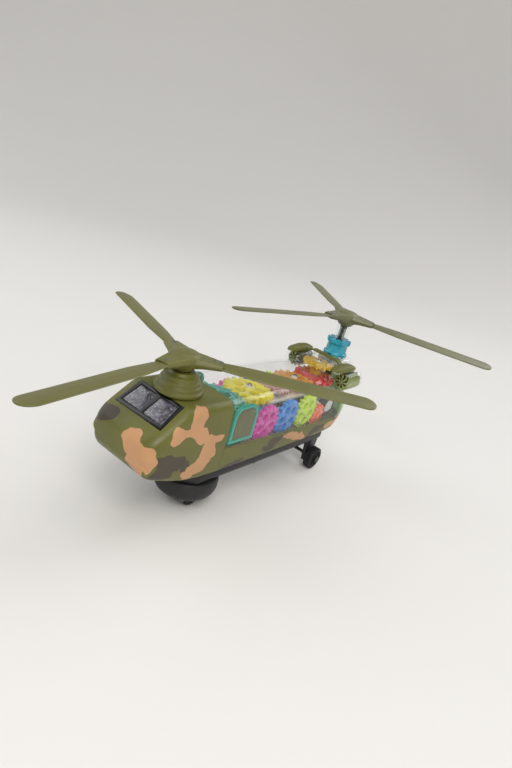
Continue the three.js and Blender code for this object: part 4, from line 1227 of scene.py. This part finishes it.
mast = {
    "radius": 3, "foot": 73.8, "frontTop": 111.8, "rearTop": 131.8,
    "tube": [(3.05, 113.8), (4.2, 113.8), (4.4, 114.1), (4.4, 125.1), (4.2, 125.4), (3.05, 125.4)],
    "ribs": 8, "ribReach": 4.2, "ribZ": 119.6, "ribSize": (11.6, 1.3, 2.2, 0.86),
}
crown = {
    "bore": 3.4, "scallops": 6,
    "outer": [
        (10.2, 98.4), (10.6, 98.8), (10.6, 100.8), (10.3, 101.4), (9.5, 101.8), (9.2, 102.3), (9.2, 108.7),
        (9.5, 109.4), (10.3, 109.8), (10.6, 110.2), (10.6, 113.0), (10.2, 113.4),
    ],
    "topNotch": ((5.4, -2, 110.2), (12, 2, 115)), "lowNotch": ((7.4, -2, 96), (12, 2, 100.6)),
}


def mastShaft(name, y, top, sides):
    r, foot = mast["radius"], mast["foot"]
    profile = [(0, foot), (r - 0.2, foot), (r, foot + 0.3), (r, top - 0.3), (r - 0.3, top), (0, top)]
    return smoothBy(place(turnedPiece(name, profile, sides), axisMatrix((0, y, 0), (0, 0, 1))), 40)


def makeMasts():
    rearY = rotor["rear"]["y"]
    finishPiece(mastShaft("frontMast", rotor["front"]["y"], mast["frontTop"], 48), "front_mast")
    finishPiece(mastShaft("rearMast", rearY, mast["rearTop"], 64), "rear_mast", darkShaft)
    tube = turnedPiece("rearMastTube", mast["tube"], 64, closed=True)
    finishPiece(smoothBy(place(tube, axisMatrix((0, rearY, 0), (0, 0, 1))), 40), "rear_mast")
    ribs = []
    for k in range(mast["ribs"]):
        angle = 2 * math.pi * k / mast["ribs"]
        x, y = math.cos(angle), math.sin(angle)
        ribs.append(((mast["ribReach"] * x, rearY + mast["ribReach"] * y, mast["ribZ"]), (x, y, 0), (0, 0, 1)))
    addBlocks("rearMastRibs", *mast["ribSize"], ribClear, "rear_rotor", "clear_plastic", ribs)


def makeCrown():
    bore, count = crown["bore"], crown["scallops"]
    profile = [(bore, crown["outer"][0][1]), *crown["outer"], (bore, crown["outer"][-1][1])]
    sleeve = turnedPiece("crownSleeve", profile, 96, closed=True)
    cutters = []
    for k in range(count):
        for share, corners in ((k, crown["topNotch"]), (k + 0.5, crown["lowNotch"])):
            turn = Matrix.Rotation(2 * math.pi * share / count, 4, "Z")
            cutters.append(place(boxPiece("notch", *corners), turn))
    carve(sleeve, *cutters)
    place(sleeve, axisMatrix((0, rotor["rear"]["y"], 0), (0, 0, 1)))
    finishPiece(bevelled(tidyMesh(sleeve), 0.3, 2, 40), "rear_crown_sleeve")


for rotorName in ("front", "rear"):
    for bladeIndex in (1, 2, 3):
        makeBlade(rotorName, bladeIndex)
    makeHub(rotorName)
makeMasts()
makeCrown()
print("rotors made")


wheels = {
    # node: lugs in each row, side that its outer face looks to
    "drive_wheel_port": (22, 1), "drive_wheel_starboard": (22, -1),
    "rear_wheel_port": (24, 1), "rear_wheel_starboard": (24, -1),
}
tyre = {
    "lugSink": 0.25, "lugWidth": 1.15, "lugHeight": 0.8, "lugTaper": 0.72, "lugSlant": 0.35,
    "ribs": 6, "ribWidth": 0.9, "ribHeight": 0.8, "ribTaper": 0.8,
}


def makeWheel(node):
    count, side = wheels[node]
    low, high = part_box(node)
    centre, half, r = middleOf(node) / mm, (high.x - low.x) / 2 / mm, (high.z - low.z) / 2 / mm
    tread = r - 0.55
    profile = [
        (1.8, -half + 0.3), (3.0, -half + 0.3), (3.4, -half + 1.0), (r - 3.6, -half + 1.0), (r - 3.1, -half + 0.2),
        (r - 2.7, -half), (r - 1.9, -half + 0.1), (tread - 0.4, -half + 0.8), (tread, -half + 1.7), (tread, -0.45),
        (tread - 0.3, -0.3), (tread - 0.3, 0.3), (tread, 0.45), (tread, half - 1.7), (tread - 0.4, half - 0.8),
        (r - 1.9, half - 0.1), (r - 2.7, half), (r - 3.1, half - 0.2), (r - 3.4, half - 1.2), (r - 3.9, half - 1.6),
        (4.1, half - 1.2), (3.4, half - 1.1), (3.2, half - 0.2), (1.8, half - 0.2),
    ]
    wheel = turnedPiece(camelName(node), profile, 88, closed=True)
    finishPiece(smoothBy(place(wheel, axisMatrix(centre, (side, 0, 0))), 35), node)

    rubber, lugs, ribs = finishes["rubber_black"], [], []
    reach = tread - tyre["lugSink"]
    for k in range(count):
        for row in (-1, 1):
            angle = 2 * math.pi * (k + 0.25 * row) / count
            y, z, slant = math.cos(angle), math.sin(angle), tyre["lugSlant"] * row
            at = (centre.x + row * half * 0.46, centre.y + reach * y, centre.z + reach * z)
            lugs.append((at, (0, y, z), (1, -slant * z, slant * y)))
    sizes = (half * 0.86, tyre["lugWidth"], tyre["lugHeight"], tyre["lugTaper"])
    addBlocks(camelName(node) + "Lugs", *sizes, rubber, bodyOf[node], "rubber_black", lugs)
    reach = (r - 0.2) / 2
    for k in range(tyre["ribs"]):
        angle = 2 * math.pi * k / tyre["ribs"]
        y, z = math.cos(angle), math.sin(angle)
        at = (centre.x + side * (half - 1.25), centre.y + reach * y, centre.z + reach * z)
        ribs.append((at, (side, 0, 0), (0, y, z)))
    sizes = (r - 6.8, tyre["ribWidth"], tyre["ribHeight"], tyre["ribTaper"])
    addBlocks(camelName(node) + "Ribs", *sizes, rubber, bodyOf[node], "rubber_black", ribs)


driveUnit = {
    "y": -46, "axleZ": 9, "axleHole": 1.8, "cheekX": 3.6, "screws": 4, "screwReach": 17.2,
    "pocket": (12.6, 10.4, 19.5),  # half width, half length, roof
    # radius, height of the bowl and its pivot
    "bowl": [
        (0, 8.2), (12.4, 8.2), (14.6, 8.4), (17.6, 9.3), (19.6, 10.5), (21.2, 12), (22.3, 13.8), (23, 15.6),
        (23.4, 17.2), (23.5, 18.6), (23.5, 22), (23.2, 23.4), (22.6, 24.6), (21.8, 25.2), (5.2, 25.2), (5.2, 31.4),
        (4.8, 32.2), (3.2, 34), (0, 34),
    ],
}


def makeTurntable():
    y, hole = driveUnit["y"], driveUnit["axleHole"]
    halfX, halfY, roof = driveUnit["pocket"]
    drum = place(turnedPiece("driveTurntable", driveUnit["bowl"], 112), axisMatrix((0, y, 0), (0, 0, 1)))
    carve(drum, boxPiece("wheelPocket", (-halfX, y - halfY, 0), (halfX, y + halfY, roof)))
    cheeks = []
    for x in (-driveUnit["cheekX"], driveUnit["cheekX"]):
        cheeks.append(boxPiece("cheek", (x - 1, y - 4, 6.6), (x + 1, y + 4, 20.5)))
    carve(drum, *cheeks, how="UNION")
    axle = turnedPiece("axleHole", [(hole, -16), (hole, 16)], 32)
    carve(drum, place(axle, axisMatrix((0, y, driveUnit["axleZ"]), (1, 0, 0))))
    finishPiece(bevelled(tidyMesh(drum), 0.3, 2, 40), "drive_turntable")
    screws, reach = [], driveUnit["screwReach"]
    for k in range(driveUnit["screws"]):
        angle = 2 * math.pi * (k + 0.5) / driveUnit["screws"]
        x, away = math.cos(angle), math.sin(angle)
        screws.append(((reach * x, y + reach * away, 9.1), (0.3 * x, 0.3 * away, -1), (1, 0, 0)))
    addScrews("turntableScrews", 1.3, 0.7, "drive_swivel", screws)


axles = {
    # radius, distance from the middle
    "drive_axle": [(0, -12.2), (1.2, -12.2), (1.5, -11.9), (1.5, 11.9), (1.2, 12.2), (0, 12.2)],
    "rear_axle": [
        (0, -28.4), (2.0, -28.4), (2.6, -28.1), (2.8, -27.6), (2.8, -27), (1.5, -27),
        (1.5, 27), (2.8, 27), (2.8, 27.6), (2.6, 28.1), (2.0, 28.4), (0, 28.4),
    ],
}


def makeAxles():
    for node, profile in axles.items():
        axle = place(turnedPiece(camelName(node), profile, 40), axisMatrix(middleOf(node) / mm, (1, 0, 0)))
        finishPiece(smoothBy(axle, 40), node, darkShaft if node == "rear_axle" else None)


for wheelNode in wheels:
    makeWheel(wheelNode)
makeTurntable()
makeAxles()


fittings = {
    "belly": [(-14, -56), (14, -56), (-15, -16), (15, -16), (-14, 78), (14, 78)], "bellyZ": 25.9,  # x, y
    "doorScrew": (0, 57, 26.5),
    "frame": [(-12, 50), (-12, 67), (80, 50)], "frameX": 19.1,  # y, z
    "padX": (-14, -11, 11, 14), "padY": (-42, -40, -22, -20), "padZ": 47.75, "padSize": (1.6, 0.9, 0.5, 0.8),
}


def makeScrews():
    down = (0, 0, -1)
    belly = [((x, y, fittings["bellyZ"]), down, (1, 0.4, 0)) for x, y in fittings["belly"]]
    addScrews("bellyScrews", 1.7, 0.8, "airframe", belly)
    addScrews("batteryDoorScrew", 1.9, 0.8, "airframe", [(fittings["doorScrew"], down, (1, 0.2, 0))])
    frameScrews = []
    for side in (-1, 1):
        for y, z in fittings["frame"]:
            frameScrews.append(((side * fittings["frameX"], y, z), (side, 0, 0), (0, 1, 0.3)))
    addScrews("frameScrews", 1.5, 0.6, "airframe", frameScrews)


def makeBoardParts():
    # a few soldered parts over the board's blocks
    pads = [((x, y, fittings["padZ"]), (0, 0, 1), (1, 0, 0)) for x in fittings["padX"] for y in fittings["padY"]]
    addBlocks("boardPads", *fittings["padSize"], screwSteel, "airframe", "board_green", pads)


makeScrews()
makeBoardParts()
print("running gear and fittings made")


studio = {
    "floorColor": "#e9e7e3", "flat": 1.15, "wall": 2.1, "height": 1.7, "sink": 0.0004,
    "lens": 26.6, "camera": (219.14, -324.79, 234.64), "target": (0, 8, 84), "roll": 16.5,
    # lamp: place and size in metres, power, colour
    "lamps": {
        "keyLight": ((0.75, -0.75, 1.15), 0.8, 11.5, (1.0, 0.985, 0.96)),
        "fillLight": ((-1.1, -0.45, 0.8), 1.2, 4, (0.95, 0.975, 1.0)),
        "backLight": ((0.2, 1.2, 1.1), 1.0, 6, (1, 1, 1)),
        "topLight": ((0.0, 0.0, 1.6), 1.4, 4.5, (1, 1, 1)),
    },
    "lampAim": (0, 0.01, 0.07), "airColor": (0.93, 0.95, 1.0, 1), "airStrength": 0.34,
}


def makeStage():
    flat, wall = studio["flat"], studio["wall"]
    profile = [(0, 0), (0.4, 0), (0.8, 0), (flat, 0)]
    for k in range(1, 13):
        angle = math.radians(90 * k / 12)
        profile.append((flat + (wall - flat) * math.sin(angle), (wall - flat) * (1 - math.cos(angle))))
    profile.append((wall, studio["height"]))
    points, faces, sides = [], [], 96
    for radius, height in profile:
        for i in range(sides):
            angle = 2 * math.pi * i / sides
            points.append((radius * math.cos(angle), radius * math.sin(angle), height - studio["sink"]))
    for row in range(len(profile) - 1):
        for i in range(sides):
            k = (i + 1) % sides
            faces.append((row * sides + i, row * sides + k, (row + 1) * sides + k, (row + 1) * sides + i))
    floor = meshObject("studioFloor", points, faces, 1.0)
    body = bmesh.new()
    body.from_mesh(floor.data)
    bmesh.ops.remove_doubles(body, verts=body.verts, dist=1e-6)
    body.to_mesh(floor.data)
    body.free()
    smoothBy(floor, 60)
    material, tree, shader, vector = newMaterial("studioPaper")
    cloud, paper = noiseNode(tree, vector, 6.0, 3.0), studio["floorColor"]
    tint = mixColors(tree, cloud.outputs[0], shaded(paper, 0.985), shaded(paper, 1.0))
    tree.links.new(tint, shader.inputs["Base Color"])
    shader.inputs["Roughness"].default_value = 0.75
    floor.data.materials.append(material)


def makeLights():
    aim = Vector(studio["lampAim"])
    for name, (at, size, power, color) in studio["lamps"].items():
        light = bpy.data.lights.new(name, "AREA")
        light.shape = "DISK"
        light.size = size
        light.energy = power
        light.color = color
        obj = bpy.data.objects.new(name, light)
        obj.location = at
        obj.rotation_euler = (aim - Vector(at)).to_track_quat("-Z", "Y").to_euler()
        bpy.context.scene.collection.objects.link(obj)
    world = bpy.data.worlds.new("studioAir")
    world.use_nodes = True
    background = world.node_tree.nodes["Background"]
    background.inputs["Color"].default_value = studio["airColor"]
    background.inputs["Strength"].default_value = studio["airStrength"]
    bpy.context.scene.world = world
    bpy.context.scene.view_settings.view_transform = "Standard"


def makeCamera():
    data = bpy.data.cameras.new("studioCamera")
    data.lens = studio["lens"]
    data.sensor_width = 36
    data.sensor_fit = "AUTO"
    data.clip_start = 0.01
    data.clip_end = 20
    camera = bpy.data.objects.new("studioCamera", data)
    at, target = Vector(studio["camera"]) * mm, Vector(studio["target"]) * mm
    back = (at - target).normalized()
    right = Vector((0, 0, 1)).cross(back).normalized()
    up = back.cross(right)
    roll = math.radians(studio["roll"])
    acrossAxis = right * math.cos(roll) + up * math.sin(roll)
    upAxis = up * math.cos(roll) - right * math.sin(roll)
    turn = Matrix((acrossAxis, upAxis, back)).transposed().to_4x4()
    camera.matrix_world = Matrix.Translation(at) @ turn
    bpy.context.scene.collection.objects.link(camera)
    bpy.context.scene.camera = camera


makeStage()
makeLights()
makeCamera()
print("stage, lights and camera set")
